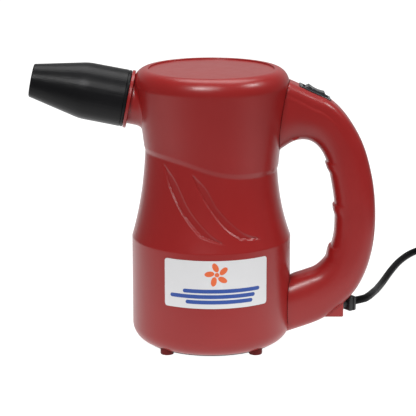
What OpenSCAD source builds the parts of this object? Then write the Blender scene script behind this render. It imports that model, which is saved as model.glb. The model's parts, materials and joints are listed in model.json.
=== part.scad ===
// Car dryer blower: a hand-held electric blower with an upright body, a D-shaped handle, a push-on
// nozzle and a mains cord. Millimetres, +Z up, feet on z = 0, handle towards +X, nozzle towards -X.

/* [Body] */
// Outside radius of the lower cylinder
base_r = 59.3; // [58.9:0.1:59.6]
// Outside radius of the waist
waist_r = 49.5; // [49.2:0.1:50]
// Wall thickness of the body moulding
wall = 2.5; // [2.2:0.1:2.8]

/* [Nozzle] */
// Upward tilt of the outlet, in degrees
outlet_tilt = 11; // [10:0.5:12]
// Outside radius of the nozzle at its rear
nozzle_r = 21.1; // [20.8:0.1:21.4]
// Outside radius of the nozzle at its tip
tip_r = 12.2; // [12:0.1:13]

/* [Handle] */
// Wall thickness of the handle mouldings
handle_wall = 2.4; // [2.2:0.1:2.6]

/* [Cord] */
// Diameter of the mains cord
cord_d = 6; // [5.6:0.1:6]

/* [Hidden] */

$fn = 64;
gap = 0.1;               // face gap between pieces of one body
running = 0.05;          // radial running clearance
e = 1;                   // overshoot of a cut past a face

// Body outline: heights and radii
base_z = 1.8;            // underside of the base
corner_r = 13;           // rounding of the bottom corner
belt_z = 82;             // where the flare starts
waist_z = 141;           // narrowest place
shoulder_z = 196.5;      // widest place of the head
shoulder_r = 57.6;
rim_r = 47.6;            // crest of the rim round the top cap
rim_z = 208.2;
flare_power = 1.75;
neck_power = 1.2;
corner_z = base_z + corner_r;
corner_axis_r = base_r - corner_r;

function corner_radius(z) = corner_axis_r + sqrt(pow(corner_r, 2) - pow(corner_z - z, 2));
function corner_height(r) = corner_z - sqrt(pow(corner_r, 2) - pow(r - corner_axis_r, 2));
function flare_radius(z) =
  waist_r + (base_r - waist_r) * pow((waist_z - z) / (waist_z - belt_z), flare_power);
function neck_radius(z) =
  waist_r + (shoulder_r - waist_r) * pow((z - waist_z) / (shoulder_z - waist_z), neck_power);
function shoulder_radius(z) =
  rim_r + (shoulder_r - rim_r) * sqrt(1 - pow((z - shoulder_z) / (rim_z - shoulder_z), 2));
function body_radius(z) =
  z < corner_z ? corner_radius(z)
  : z < belt_z ? base_r
  : z < waist_z ? flare_radius(z)
  : z < shoulder_z ? neck_radius(z)
  : shoulder_radius(z);

// Top cap
cap_r = 46.2;
cap_z = 207.4;           // its upper face
cap_t = 2.8;
cap_skirt_r = 43.4;

// Base plate and what stands on it
plate_r = 50;
plate_top = 6;
opening_r = 42.6;        // bottom opening of the body, which the motor goes in through
floor_t = 3;             // thickness of the body's bottom ring
screw_circle = 46.8;
foot_r = 5;
foot_x = 32.7;
foot_y = 36.8;
foot_top = 6.5;
foot_stem_r = 2;
foot_stem_h = 6;
boss_r = 4;
boss_h = 9;
cup_r = 42.2;            // filter cup on the base plate
cup_top = 22;

// Motor and fan stack, from the bottom up
support_z = cup_top + gap;
support_t = 2.4;
cushion_z = support_z + support_t + gap;
cushion_t = 8;
case_z = cushion_z + cushion_t + gap;
case_r = 42;
case_t = 1.2;
case_h = 33;
eye_r = 14;
lower_fan_z = case_z + 3;
fan_r = 37.5;
fan_h = 9;               // lower disc to upper disc
disc_t = 0.8;
return_z = lower_fan_z + fan_h + 2;
return_h = 6.5;
upper_fan_z = return_z + return_h + 1.5;
end_plate_z = case_z + case_h + gap;
end_plate_t = 4;
bearing_z = end_plate_z + end_plate_t + 0.5;
bearing_h = 7;
bearing_r = 11;
bearing_bore_r = 4;
ball_r = 1.98;
ball_circle = 7.5;
balls = 7;
gasket_z = end_plate_z + end_plate_t + gap;
gasket_t = 3;
ledge_z = gasket_z + gasket_t + gap;
ledge_t = 3;
ledge_r = 38.2;
core_z = 88;             // stator and armature cores
core_h = 26;
armature_r = 18;
stator_bore_r = 18.6;
stator_r = 31;
commutator_z = core_z + core_h + 12;
commutator_h = 14;
commutator_r = 11;
top_bearing_z = commutator_z + commutator_h + 5;
frame_z = core_z + core_h + gap;
frame_ring_z = frame_z + 8;
frame_ring_t = 3;
frame_arm_z = top_bearing_z - 3;
bolt_x = 28.5;
bolt_r = 1.5;
shaft_r = 4;
shaft_shoulder_r = 5;
brush_z = frame_ring_z + frame_ring_t + gap;
brush_mid_z = brush_z + 4.5;
spider_z = top_bearing_z + 1.2;
spider_angles = [90, 210, 330];
spider_r = 45.5;
spider_w = 8;

// Outlet: distances along its axis from the body axis
outlet_z = 173.2;        // where the axes cross
spout_r = 18;
bore_r = 14.5;           // air way
ring_start = 60.5;
ring_end = 62.8;
ring_r = 21.5;
spigot_r = 17.5;
spigot_end = 88;
nozzle_break = 95.4;     // where the nozzle starts to taper
nozzle_end = 134.9;
nozzle_break_r = nozzle_r - 0.2;
tip_bore_r = tip_r - 2.8;
lip_r = 1.2;             // rounding of the tip's edge

// Handle: outer and inner outline and half width, from the upper root to the lower one
handle_outer = [
  [57.4, 199], [64, 196], [76, 190.2], [88, 184.5], [99, 174.3], [108, 160.5], [115, 144.5],
  [120.5, 122], [122.7, 99], [121.5, 76], [117, 56.5], [109, 40], [97, 27], [82, 16.2], [56, 6.8]
];
handle_inner = [
  [50, 147], [60, 153.5], [68, 155.2], [75, 153.2], [81, 147.5], [85.5, 138.5], [88.5, 127],
  [91.5, 110], [92.3, 97], [91.5, 81], [87, 66.5], [79, 57.3], [70, 53.5], [63, 51.2], [59.5, 49.5]
];
handle_half_width = [17, 16.5, 16, 15.5, 15, 14.5, 14.3, 14.3, 14.3, 14.5, 15, 15.5, 16, 16.5, 17];
handle_reach = 122.7;    // outermost point of the grip
section_power = 2.6;     // squareness of the handle's cross-section
arc_steps = 9;           // segments round half the section
root_gap = 0.3;
handle_bosses = [[61, 160.5, 15], [91, 171, 13.5], [107, 98, 13], [68, 24, 15]];  // x, z, length
screw_r = 1.3;
screw_head_r = 2.6;
screw_l = 19;
screw_head_y = 9;        // the heads sit in the rear half
screw_head_t = 1.8;

// Switch, set in the sloping top of the handle
switch_x = 75.8;
switch_z = 189.2;
switch_slope = 25.5;
bezel_l = 25.4;
bezel_w = 15;
bezel_t = 1.9;
switch_l = 22;
switch_w = 12.4;
switch_depth = 17;
rocker_l = 17.4;
rocker_w = 9.6;
rocker_pivot = -3;       // below the seat
pivot_r = 1.2;
rocker_r = 9.6;
window_l = 20.6;
window_w = 10.6;

// Cord exit
block_x = [84, 99.6];
block_z = [19.5, 34];
block_half = 9;
block_wall = 2;
gland_yaw = 35;
gland_l = 6.6;
gland_w = 12;
gland_h = 11;
neck_r = 3.6;
neck_l = 4.4;            // through the end wall of the cord block
gland_flange_r = 4.6;
gland_flange_l = 2.2;
jacket_r = 2.4;          // of the cord inside the handle
clamp_x = [78, 82];
clamp_y = -3.2;
clamp_z = 32;

// The origin is under the middle of the nozzle and handle span
nozzle_reach =
  (nozzle_end - lip_r) * cos(outlet_tilt) + (tip_r - lip_r) * sin(outlet_tilt) + lip_r;
axis_x = (nozzle_reach - handle_reach) / 2;

// Cord route on the floor and to the plug
cord_route = [
  [112.5, 4.5, 28], [116, 7, 28], [120.5, 11.5, 27.6], [124, 17, 26.8], [126.5, 24, 25.8],
  [129.5, 36, 23.6], [132.5, 50, 21], [135.5, 67, 17.2], [139, 87, 12.8], [142.5, 107, 8.7],
  [146.5, 127, 5.4], [151, 146, 3.5], [156.5, 166, 3], [163, 187, 3], [170, 207, 3],
  [178, 225, 3], [187, 240, 3], [198, 251, 3], [212, 257, 3], [226, 259, 3.2], [240, 259, 3.8]
];
tail_route = [
  [240, 259, 21.8], [252, 258, 21.6], [264, 254.5, 20.6], [275, 248, 18.4], [284.5, 239.5, 15],
  [292, 229, 11.5], [297, 217, 9], [300, 204, 8]
];
coil_centre = [240, 218, 0];
coil_turns_wide = 3;
coil_turns_high = 4;
coil_mid_r = 35;
tie_t = 0.8;
tie_angle = 16;
coil_half = coil_turns_wide * cord_d / 2;
coil_h = coil_turns_high * cord_d;
plug_w = 26;
plug_t = 16;
plug_l = 32;
plug_cone_l = 12;
plug_x = 300;
plug_y = 204;            // where the cord enters the plug
blade_l = 18;

// Colours
red = [0.55, 0.16, 0.16];
black = [0.08, 0.08, 0.09];
steel = [0.7, 0.7, 0.72];
copper = [0.72, 0.38, 0.2];
grey = [0.45, 0.45, 0.47];

// ---------- helpers ----------

module on_axis() {
  translate([axis_x, 0, 0]) children();
}

module on_outlet() {
  translate([0, 0, outlet_z]) rotate([0, outlet_tilt - 90, 0]) children();
}

module on_switch() {
  translate([switch_x, 0, switch_z]) rotate([0, switch_slope, 0]) children();
}

module on_gland() {
  translate(cord_route[0]) rotate([0, 0, gland_yaw]) children();
}

module disc(z, r, h) {
  translate([0, 0, z]) cylinder(r = r, h = h);
}

module ring(z, r_out, r_in, h) {
  translate([0, 0, z]) difference() {
    cylinder(r = r_out, h = h);
    translate([0, 0, -e]) cylinder(r = r_in, h = h + 2 * e);
  }
}

module block(x, y, z) {
  translate([x[0], y[0], z[0]]) cube([x[1] - x[0], y[1] - y[0], z[1] - z[0]]);
}

// A point of the smooth curve through a list of points, between point i and the next
function curve_point(p, i, t) =
  let (a = p[max(i - 1, 0)], b = p[i], c = p[i + 1], d = p[min(i + 2, len(p) - 1)])
  0.5 * (2 * b + (c - a) * t + (2 * a - 5 * b + 4 * c - d) * t * t
    + (3 * b - a - 3 * c + d) * t * t * t);

function smooth(p, steps) = concat(
  [for (i = [0:len(p) - 2]) for (k = [0:steps - 1]) curve_point(p, i, k / steps)],
  [p[len(p) - 1]]
);

function unit(v) = v / norm(v);
function direction(p, i) = unit(p[min(i + 1, len(p) - 1)] - p[max(i - 1, 0)]);

// Side triangles between rings of n points each
function skin_faces(rings, n) = [
  for (i = [0:rings - 2]) for (k = [0:n - 1])
    let (a = i * n + k, b = i * n + (k + 1) % n, c = b + n, d = a + n)
    each [[a, b, c], [a, c, d]]
];

module tube(path, r, sides, up) {
  count = len(path);
  points = [
    for (i = [0:count - 1])
      let (t = direction(path, i), side = unit(cross(t, up)), top = cross(side, t))
      for (k = [0:sides - 1]) path[i] + r * (cos(360 * k / sides) * side + sin(360 * k / sides) * top)
  ];
  start_cap = [for (k = [sides - 1:-1:0]) k];
  end_cap = [for (k = [0:sides - 1]) (count - 1) * sides + k];
  polyhedron(points, concat(skin_faces(count, sides), [start_cap, end_cap]), convexity = 6);
}

// ---------- body ----------

corner_outline = [
  for (a = [15:15:90]) [corner_axis_r + corner_r * sin(a), corner_z - corner_r * cos(a)]
];
flare_outline = [for (z = [belt_z:6:waist_z - 1]) [flare_radius(z), z]];
neck_outline = [for (z = [waist_z:8:shoulder_z - 1]) [neck_radius(z), z]];
shoulder_outline = [
  for (a = [0:15:90])
    [rim_r + (shoulder_r - rim_r) * cos(a), shoulder_z + (rim_z - shoulder_z) * sin(a)]
];

// Section of the body wall, with the ledge that the fan case seats against
module body_section() {
  rebate_r = plate_r + 0.2;
  ledge_top = ledge_z + ledge_t;
  inner_neck = [for (z = [shoulder_z - 4:-10:waist_z]) [neck_radius(z) - wall, z]];
  inner_flare = [for (z = [waist_z - 6:-8:ledge_top + 6]) [flare_radius(z) - wall, z]];
  polygon(concat(
    [[rebate_r, corner_height(rebate_r)]],
    [for (p = corner_outline) if (p[0] > rebate_r + 1) p],
    flare_outline,
    neck_outline,
    shoulder_outline,
    [[cap_r + 0.2, rim_z - 0.4], [cap_r + 0.2, cap_z - cap_t - gap]],
    [[cap_skirt_r + gap, cap_z - cap_t - gap], [cap_skirt_r + gap, cap_z - 2 * cap_t]],
    inner_neck,
    inner_flare,
    [[body_radius(ledge_top) - wall, ledge_top], [ledge_r, ledge_top], [ledge_r, ledge_z]],
    [[base_r - wall, ledge_z], [base_r - wall, corner_z], [plate_r + 4, plate_top + floor_t]],
    [[opening_r, plate_top + floor_t], [opening_r, plate_top], [rebate_r, plate_top]]
  ));
}

module at_feet() {
  for (x = [-foot_x, foot_x]) for (y = [-foot_y, foot_y]) translate([x, y, 0]) children();
}

module at_base_screws() {
  for (a = [0:90:270]) rotate([0, 0, a]) translate([screw_circle, 0, 0]) children();
}

module body_shell() color(red) {
  lead_window_z = 168;
  lead_window_r = 4.5;
  spout_start = 47.5;      // inside the wall
  rest_z = [spider_z - 9, spider_z - gap];
  rest_x = [spider_r - 2.5, waist_r - 1];
  difference() {
    union() {
      rotate_extrude($fn = 96) body_section();
      at_feet() disc(foot_top + 0.5, foot_r + 2, boss_h);
      at_base_screws() disc(plate_top + 1, boss_r, boss_h);
      for (a = spider_angles) rotate([0, 0, a]) block(rest_x, [-spider_w / 2, spider_w / 2], rest_z);
      on_outlet() disc(spout_start, spout_r, ring_start - spout_start + gap);
      on_outlet() disc(ring_start, ring_r, ring_end - ring_start);
      on_outlet() disc(ring_end - gap, spigot_r, spigot_end - ring_end + gap);
    }
    on_outlet() disc(spout_start - 8, bore_r, spigot_end);
    at_feet() disc(-e, foot_r + gap, foot_top + e + gap);
    at_feet() disc(-e, foot_stem_r + gap, foot_top + foot_stem_h + e);
    at_base_screws() disc(-e, screw_r, plate_top + boss_h);
    translate([shoulder_r - 2 * boss_h, 0, lead_window_z]) rotate([0, 90, 0])
      cylinder(r = lead_window_r, h = 30);
  }
}

module top_cap() color(red) {
  crown = 0.5;
  rotate_extrude($fn = 96) polygon([
    [0, cap_z - cap_t], [cap_skirt_r - 2, cap_z - cap_t], [cap_skirt_r - 2, cap_z - 2 * cap_t],
    [cap_skirt_r, cap_z - 2 * cap_t], [cap_skirt_r, cap_z - cap_t], [cap_r, cap_z - cap_t],
    [cap_r, cap_z - crown], [cap_r - crown, cap_z], [0, cap_z]
  ]);
}

module base_plate() color(black) {
  slot_w = 3;
  slot_pitch = 6;
  slot_span = 38;
  bar_half = 2;
  recess_t = 1.4;
  difference() {
    union() {
      disc(base_z + 0.6, plate_r, plate_top - base_z - 0.6);
      disc(base_z, corner_axis_r, plate_top - base_z);
      ring(plate_top - gap, cup_r, cup_r - 2, cup_top - plate_top + gap);
    }
    for (y = [-5 * slot_pitch:slot_pitch:5 * slot_pitch]) {
      half = sqrt(slot_span * slot_span - y * y);
      block([-half, -bar_half], [y - slot_w / 2, y + slot_w / 2], [0, plate_top + e]);
      block([bar_half, half], [y - slot_w / 2, y + slot_w / 2], [0, plate_top + e]);
    }
    at_feet() disc(-e, foot_r + 0.4, plate_top + 2 * e);
    at_base_screws() disc(-e, screw_r + 0.4, plate_top + 2 * e);
    at_base_screws() disc(-e, screw_head_r + 0.3, base_z + recess_t + e);
  }
}

module feet() color(red) {
  at_feet() {
    disc(0, foot_r, foot_top);
    disc(foot_top - gap, foot_stem_r, foot_stem_h);
  }
}

module base_screws() color(steel) {
  head_t = 1.3;
  at_base_screws() {
    disc(base_z, screw_head_r, head_t);
    disc(base_z + head_t - gap, screw_r - 0.02, 9);
  }
}

module label_plate() color([0.85, 0.85, 0.85]) {
  label_z = [41, 77];
  label_start = -126.4;
  label_span = 80;
  rotate([0, 0, label_start]) rotate_extrude(angle = label_span, $fn = 96)
    translate([base_r + 0.02, label_z[0]]) square([0.35, label_z[1] - label_z[0]]);
}

// ---------- outlet nozzle ----------

module nozzle() color(black) {
  rear = ring_end + 0.2;
  socket_end = spigot_end + 0.5;
  outline = concat(
    [[spigot_r + running, rear], [nozzle_r - 0.8, rear], [nozzle_r, rear + 0.8]],
    [[nozzle_break_r, nozzle_break - 4], [nozzle_break_r - 0.5, nozzle_break]],
    [[nozzle_break_r - 2, nozzle_break + 4]],
    [for (a = [0:22.5:90])
      [tip_r - lip_r + lip_r * cos(a), nozzle_end - lip_r + lip_r * sin(a)]],
    [[tip_bore_r + 0.6, nozzle_end], [tip_bore_r, nozzle_end - 0.8]],
    [[bore_r, socket_end + 2], [bore_r, socket_end], [spigot_r + running, socket_end]]
  );
  on_outlet() rotate_extrude($fn = 96) polygon(outline);
}

// ---------- handle ----------

outer_line = smooth(handle_outer, 2);
inner_line = smooth(handle_inner, 2);
width_line = smooth(handle_half_width, 2);

function squared(v) = sign(v) * pow(abs(v), 2 / section_power);

// Point of the handle's skin at ring i and angle a, set in by the distance inset
function handle_point(i, a, inset) =
  let (
    o = outer_line[i], n = inner_line[i], mid = (o + n) / 2, reach = norm(o - n) / 2 - inset,
    p = mid + unit(o - n) * reach * squared(cos(a)),
    y = gap / 2 + (width_line[i] - inset) * squared(sin(a)),
    root = i == 0 || i == len(outer_line) - 1,
    x = root ? sqrt(pow(body_radius(p[1]) + root_gap, 2) - y * y) : p[0]
  )
  [x, y, p[1]];

// Half of the hollow handle, open at its roots and along the parting plane
module handle_skin() {
  rings = len(outer_line);
  n = 2 * arc_steps + 2;
  step = 180 / arc_steps;
  points = [
    for (i = [0:rings - 1]) each concat(
      [for (k = [0:arc_steps]) handle_point(i, k * step, 0)],
      [for (k = [arc_steps:-1:0]) handle_point(i, k * step, handle_wall)]
    )
  ];
  last = (rings - 1) * n;
  start_cap = [for (k = [0:arc_steps - 1]) [n - 1 - k, n - 2 - k, k + 1, k]];
  end_cap = [for (k = [0:arc_steps - 1]) [last + k, last + k + 1, last + n - 2 - k, last + n - 1 - k]];
  polyhedron(points, concat(skin_faces(rings, n), start_cap, end_cap), convexity = 10);
}

module at_boss(p) {
  translate([p[0], 0, p[1]]) rotate([-90, 0, 0]) children();
}

module switch_pocket() {
  on_switch() {
    block([-bezel_l / 2 - 0.2, bezel_l / 2 + 0.2], [-bezel_w / 2 - 0.2, bezel_w / 2 + 0.2], [0, 12]);
    block([-switch_l / 2 - 0.2, switch_l / 2 + 0.2], [-switch_w / 2 - 0.2, switch_w / 2 + 0.2], [-8, 1]);
  }
}

// Room inside the cord block, and the hole and seats round the strain relief
module cord_room() {
  inner_y = block_half - block_wall;
  inner_x = [block_x[0], block_x[1] - block_wall];
  half_w = gland_w / 2 + 2 * gap;
  half_h = gland_h / 2 + 2 * gap;
  flange_end = gland_l + neck_l + gland_flange_l;
  block(inner_x, [-inner_y, inner_y], [block_z[0] + block_wall, block_z[1] + e]);
  translate([-axis_x, 0, 0]) on_gland() {
    block([-gland_l - 2 * gap, gland_l], [-half_w, half_w], [-half_h, half_h]);
    rotate([0, -90, 0]) cylinder(r = neck_r + gap, h = flange_end);
    rotate([0, -90, 0]) disc(gland_l + neck_l - 2 * gap, gland_flange_r + 2 * gap, gland_flange_l + e);
  }
}

// Side is 1 for the rear half and -1 for the front one
module handle_half(side) {
  block_y = side > 0 ? [gap / 2, block_half] : [-block_half, -gap / 2];
  difference() {
    union() {
      mirror([0, side > 0 ? 0 : 1, 0]) {
        handle_skin();
        for (p = handle_bosses) at_boss(p) disc(gap / 2, boss_r, p[2]);
      }
      block(block_x, block_y, block_z);
    }
    switch_pocket();
    cord_room();
    for (p = handle_bosses) at_boss(p) {
      disc(screw_head_y - screw_l - 1, screw_r, screw_l + 2);
      disc(screw_head_y, screw_head_r + 0.3, screw_l);
    }
  }
}

module handle_front() color(red) handle_half(-1);

module handle_rear() color(red) handle_half(1);

module handle_screws() color(steel) {
  for (p = handle_bosses) at_boss(p) {
    disc(screw_head_y - screw_l, screw_r - 0.02, screw_l + gap);
    disc(screw_head_y + 0.02, screw_head_r, screw_head_t);
  }
}

// ---------- switch ----------

module switch_body() color(black) {
  on_switch() {
    difference() {
      union() {
        block([-bezel_l / 2, bezel_l / 2], [-bezel_w / 2, bezel_w / 2], [gap, bezel_t]);
        block([-switch_l / 2, switch_l / 2], [-switch_w / 2, switch_w / 2], [-switch_depth, 1]);
      }
      block([-window_l / 2, window_l / 2], [-window_w / 2, window_w / 2], [2 - switch_depth, bezel_t + e]);
    }
    translate([0, 0, rocker_pivot]) rotate([90, 0, 0])
      cylinder(r = pivot_r, h = window_w + 1, center = true);
  }
}

module switch_terminals() color(copper) {
  blade_l = 7;
  on_switch() for (x = [-7, 0, 7])
    block([x - 0.4, x + 0.4], [-2.4, 2.4], [-switch_depth - blade_l, -switch_depth]);
}

module switch_rocker() color(black) {
  dish_r = 22;
  dish_z = 3.4;
  on_switch() difference() {
    intersection() {
      translate([0, -rocker_w / 2, rocker_pivot]) rotate([-90, 0, 0]) cylinder(r = rocker_r, h = rocker_w);
      block([-rocker_l / 2, rocker_l / 2], [-rocker_w, rocker_w], [rocker_pivot - 4, 5]);
    }
    translate([0, 0, dish_z + dish_r]) rotate([90, 0, 0])
      cylinder(r = dish_r, h = 2 * rocker_w, center = true);
    translate([0, 0, rocker_pivot]) rotate([90, 0, 0])
      cylinder(r = pivot_r + running, h = 2 * rocker_w, center = true);
  }
}

// ---------- cord and plug ----------

module strain_relief() color(black) on_gland() {
  block([-gland_l, 0], [-gland_w / 2, gland_w / 2], [-gland_h / 2, gland_h / 2]);
  rotate([0, -90, 0]) disc(gland_l - gap, neck_r, neck_l + 2 * gap);
  rotate([0, -90, 0]) disc(gland_l + neck_l, gland_flange_r, gland_flange_l);
}

// The cord's jacket inside the handle, from the strain relief to the clamp
module inner_cord() color(black) {
  inward = -[cos(gland_yaw), sin(gland_yaw), 0];
  start = cord_route[0] + (gland_l + neck_l + gland_flange_l + 2 * gap) * inward;
  clamp_end = [clamp_x[0] + axis_x, clamp_y, clamp_z];
  route = [
    start, start + 2 * inward, [95, -4.4, 29.6], [91, -3.8, 31.2], [88, clamp_y, clamp_z], clamp_end
  ];
  tube(route, jacket_r, 8, [0, 0, 1]);
}

module cord_clamp() color(black) difference() {
  block(clamp_x, [clamp_y - 6, clamp_y + 6], [clamp_z - 4.5, clamp_z + 4.5]);
  translate([clamp_x[0] - e, clamp_y, clamp_z]) rotate([0, 90, 0]) cylinder(r = jacket_r + 0.5, h = 10);
}

module cord_tube() color(black) tube(cord_route, cord_d / 2, 10, [0, 0, 1]);

module cord_tail() color(black) tube(tail_route, cord_d / 2, 10, [0, 0, 1]);

module cord_coil() color(black) {
  corner = 2.4;
  low = coil_mid_r - coil_half;
  high = coil_mid_r + coil_half;
  translate(coil_centre + [0, 0, tie_t]) rotate_extrude() polygon([
    [low, corner], [low + corner, 0], [high - corner, 0], [high, corner],
    [high, coil_h - corner], [high - corner, coil_h], [low + corner, coil_h], [low, coil_h - corner]
  ]);
}

module cord_tie() color(grey) {
  low = coil_mid_r - coil_half - gap;
  high = coil_mid_r + coil_half + gap;
  translate(coil_centre) rotate([0, 0, 270 - tie_angle / 2]) rotate_extrude(angle = tie_angle, $fn = 96)
    difference() {
      translate([low - tie_t, 0]) square([high - low + 2 * tie_t, coil_h + 2 * tie_t + gap]);
      translate([low, tie_t - 0.02]) square([high - low, coil_h + gap]);
    }
}

module plug_body() color(black) {
  front_y = plug_y - plug_cone_l - plug_l;
  chamfer = 4;
  translate([plug_x, 0, 0]) {
    translate([0, plug_y, plug_t / 2]) rotate([90, 0, 0]) cylinder(r1 = 4, r2 = 6, h = plug_cone_l + gap);
    translate([0, front_y + plug_l, 0]) rotate([90, 0, 0]) linear_extrude(plug_l) polygon([
      [-plug_w / 2, chamfer], [-plug_w / 2 + chamfer, 0], [plug_w / 2 - chamfer, 0],
      [plug_w / 2, chamfer], [plug_w / 2, plug_t - chamfer], [plug_w / 2 - chamfer, plug_t],
      [-plug_w / 2 + chamfer, plug_t], [-plug_w / 2, plug_t - chamfer]
    ]);
  }
}

module plug_blades() color(steel) {
  front_y = plug_y - plug_cone_l - plug_l;
  blade_x = 6.35;
  half_w = 3.15;
  half_t = 0.75;
  translate([plug_x, front_y - blade_l, plug_t / 2]) for (x = [-blade_x, blade_x])
    block([x - half_t, x + half_t], [0, blade_l - 0.02], [-half_w, half_w]);
}

// Two insulated cores side by side, from the strain relief up the grip to the switch
module mains_leads() color([0.2, 0.25, 0.5]) {
  route = [
    [77.4, -3.2, 32], [74, -3, 34], [73.5, -2, 40], [80, -1, 46], [91, 0, 54], [99, 0, 66], [101, 0, 82],
    [101, 0, 100], [100, 0, 118], [97, 0, 134], [90, 0, 146], [82, 0, 155], [77, 0, 160], [73, 0, 161.5]
  ];
  for (y = [-1.6, 1.6]) tube([for (p = smooth(route, 2)) p + [0, y, 0]], 1.1, 6, [0, 1, 0.02]);
}

// Two cores from the switch through the body wall to the brush holders
module motor_leads() color([0.5, 0.2, 0.15]) {
  route = [
    [66.5, 3, 164.5], [61, 2.5, 167.5], [55, 2.5, 168], [48, 2.5, 167.5], [42, 8, 164], [35, 18, 158],
    [28, 26, 151], [21, 30, 143], [12, 29.5, 137.5], [5, 27, 135.5]
  ];
  for (side = [-1, 1]) tube([for (p = smooth(route, 2)) [p[0], side * p[1], p[2]]], 1.1, 6, [0.02, 1, 0.3]);
}

// ---------- fan ----------

module filter_foam() color([0.2, 0.2, 0.2]) disc(plate_top + 0.4, cup_r - 2.6, cup_top - plate_top - 2);

module filter_support() color(black) {
  bar_w = 2;
  hole_r = cup_r - 3;
  translate([0, 0, support_z]) {
    ring(0, cup_r, hole_r, support_t);
    intersection() {
      for (x = [-36:12:36]) {
        block([x - bar_w / 2, x + bar_w / 2], [-hole_r - e, hole_r + e], [0, support_t]);
        block([-hole_r - e, hole_r + e], [x - bar_w / 2, x + bar_w / 2], [0, support_t]);
      }
      disc(-e, hole_r + 0.5, support_t + 2 * e);
    }
  }
}

module lower_cushion() color(black) ring(cushion_z, case_r - 1, case_r - 11, cushion_t);

module fan_case() color(steel) {
  difference() {
    disc(case_z, case_r, case_h);
    disc(case_z + case_t, case_r - case_t, case_h);
    disc(case_z - e, eye_r, case_t + 2 * e);
  }
}

// Backward-curved vanes: sectors of thin rings
module vanes(count, r_in, r_out, h) {
  curve_r = 30;
  vane_t = 0.9;
  intersection() {
    ring(0, r_out, r_in, h);
    for (i = [0:count - 1]) rotate([0, 0, 360 * i / count]) translate([12, curve_r - 4, 0])
      rotate([0, 0, -110]) rotate_extrude(angle = 100)
        translate([curve_r, 0]) square([vane_t, h]);
  }
}

module impeller(z) {
  translate([0, 0, z]) {
    ring(0, fan_r, eye_r - 1, disc_t);
    translate([0, 0, disc_t - 0.05]) vanes(7, eye_r + 1, fan_r - 0.5, fan_h - 2 * disc_t + 0.1);
    ring(fan_h - disc_t, fan_r, shaft_r + 0.02, disc_t);
  }
}

module impeller_lower() color(steel) impeller(lower_fan_z);

module impeller_upper() color(steel) impeller(upper_fan_z);

module return_vanes() color(grey) {
  plate_t = 1;
  translate([0, 0, return_z]) {
    ring(0, fan_r - 1, 7, plate_t);
    translate([0, 0, plate_t - 0.05]) vanes(9, eye_r + 2, fan_r - 1.5, return_h - 2 * plate_t + 0.1);
    ring(return_h - plate_t, case_r - case_t - 0.05, eye_r, plate_t);
  }
}

module impeller_spacers() color(steel) {
  spacer_r = 6;
  lower_top = lower_fan_z + fan_h;
  upper_top = upper_fan_z + fan_h;
  ring(lower_top + 0.02, spacer_r, shaft_r + 0.02, upper_top - disc_t - lower_top - 0.04);
  ring(upper_top + 0.02, spacer_r, shaft_r + 0.02, bearing_z - upper_top - 0.04);
}

module impeller_nut() color(steel) {
  nut_t = 4;
  washer_t = 1;
  under = lower_fan_z + fan_h - disc_t;
  ring(under - washer_t - 0.02, 7, shaft_r + 0.02, washer_t);
  translate([0, 0, under - washer_t - nut_t - 0.04]) difference() {
    cylinder(r = 7, h = nut_t, $fn = 6);
    translate([0, 0, -e]) cylinder(r = shaft_r + 0.02, h = nut_t + 2 * e, $fn = 64);
  }
}

// ---------- motor ----------

module motor_plate() color(grey) {
  vents = 8;
  vent_r = 3.4;
  boss_top = bearing_z + bearing_h - 1;
  difference() {
    union() {
      disc(end_plate_z, case_r, end_plate_t);
      disc(end_plate_z, bearing_r + 3, boss_top - end_plate_z);
      for (x = [-bolt_x, bolt_x]) translate([x, 0, 0]) disc(end_plate_z, 4, core_z - gap - end_plate_z);
    }
    disc(end_plate_z - e, bearing_r - 2, end_plate_t + 2 * e);
    disc(bearing_z - 0.02, bearing_r + 0.02, 20);
    for (i = [0:vents - 1]) rotate([0, 0, 22.5 + 360 * i / vents]) translate([32, 0, 0])
      disc(end_plate_z - e, vent_r, end_plate_t + 2 * e);
    for (x = [-bolt_x, bolt_x]) translate([x, 0, 0]) disc(end_plate_z + 1, bolt_r + 0.02, 30);
  }
}

module upper_gasket() color(black) ring(gasket_z, case_r - 0.2, ledge_r + 0.2, gasket_t);

module ball_groove(z) {
  translate([0, 0, z + bearing_h / 2]) rotate_extrude()
    translate([ball_circle, 0]) circle(r = ball_r + 0.06);
}

module bearing_outer_races() color(steel) {
  for (z = [bearing_z, top_bearing_z]) difference() {
    ring(z, bearing_r, 8.7, bearing_h);
    ball_groove(z);
  }
}

module bearing_inner_races() color(steel) {
  for (z = [bearing_z, top_bearing_z]) difference() {
    ring(z, 6.3, bearing_bore_r + 0.02, bearing_h);
    ball_groove(z);
  }
}

module bearing_balls() color(steel) {
  for (z = [bearing_z, top_bearing_z]) for (i = [0:balls - 1])
    rotate([0, 0, 360 * i / balls]) translate([ball_circle, 0, z + bearing_h / 2])
      sphere(r = ball_r, $fn = 32);
}

module motor_shaft() color(steel) {
  low = lower_fan_z + fan_h - disc_t - 5.5;
  shoulder_low = bearing_z + bearing_h + 0.02;
  upper_low = commutator_z + commutator_h + 0.5;
  disc(low, shaft_r, top_bearing_z + bearing_h - low);
  disc(shoulder_low, shaft_shoulder_r, core_z - 8 - shoulder_low);
  disc(upper_low, shaft_shoulder_r, top_bearing_z - 0.02 - upper_low);
}

module armature_core() color(grey) {
  slots = 12;
  translate([0, 0, core_z]) difference() {
    cylinder(r = armature_r, h = core_h);
    translate([0, 0, -e]) cylinder(r = shaft_r + 0.02, h = core_h + 2 * e);
    for (i = [0:slots - 1]) rotate([0, 0, 360 * i / slots]) translate([armature_r - 4, 0, -e])
      cylinder(r = 2.4, h = core_h + 2 * e, $fn = 24);
  }
}

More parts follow.
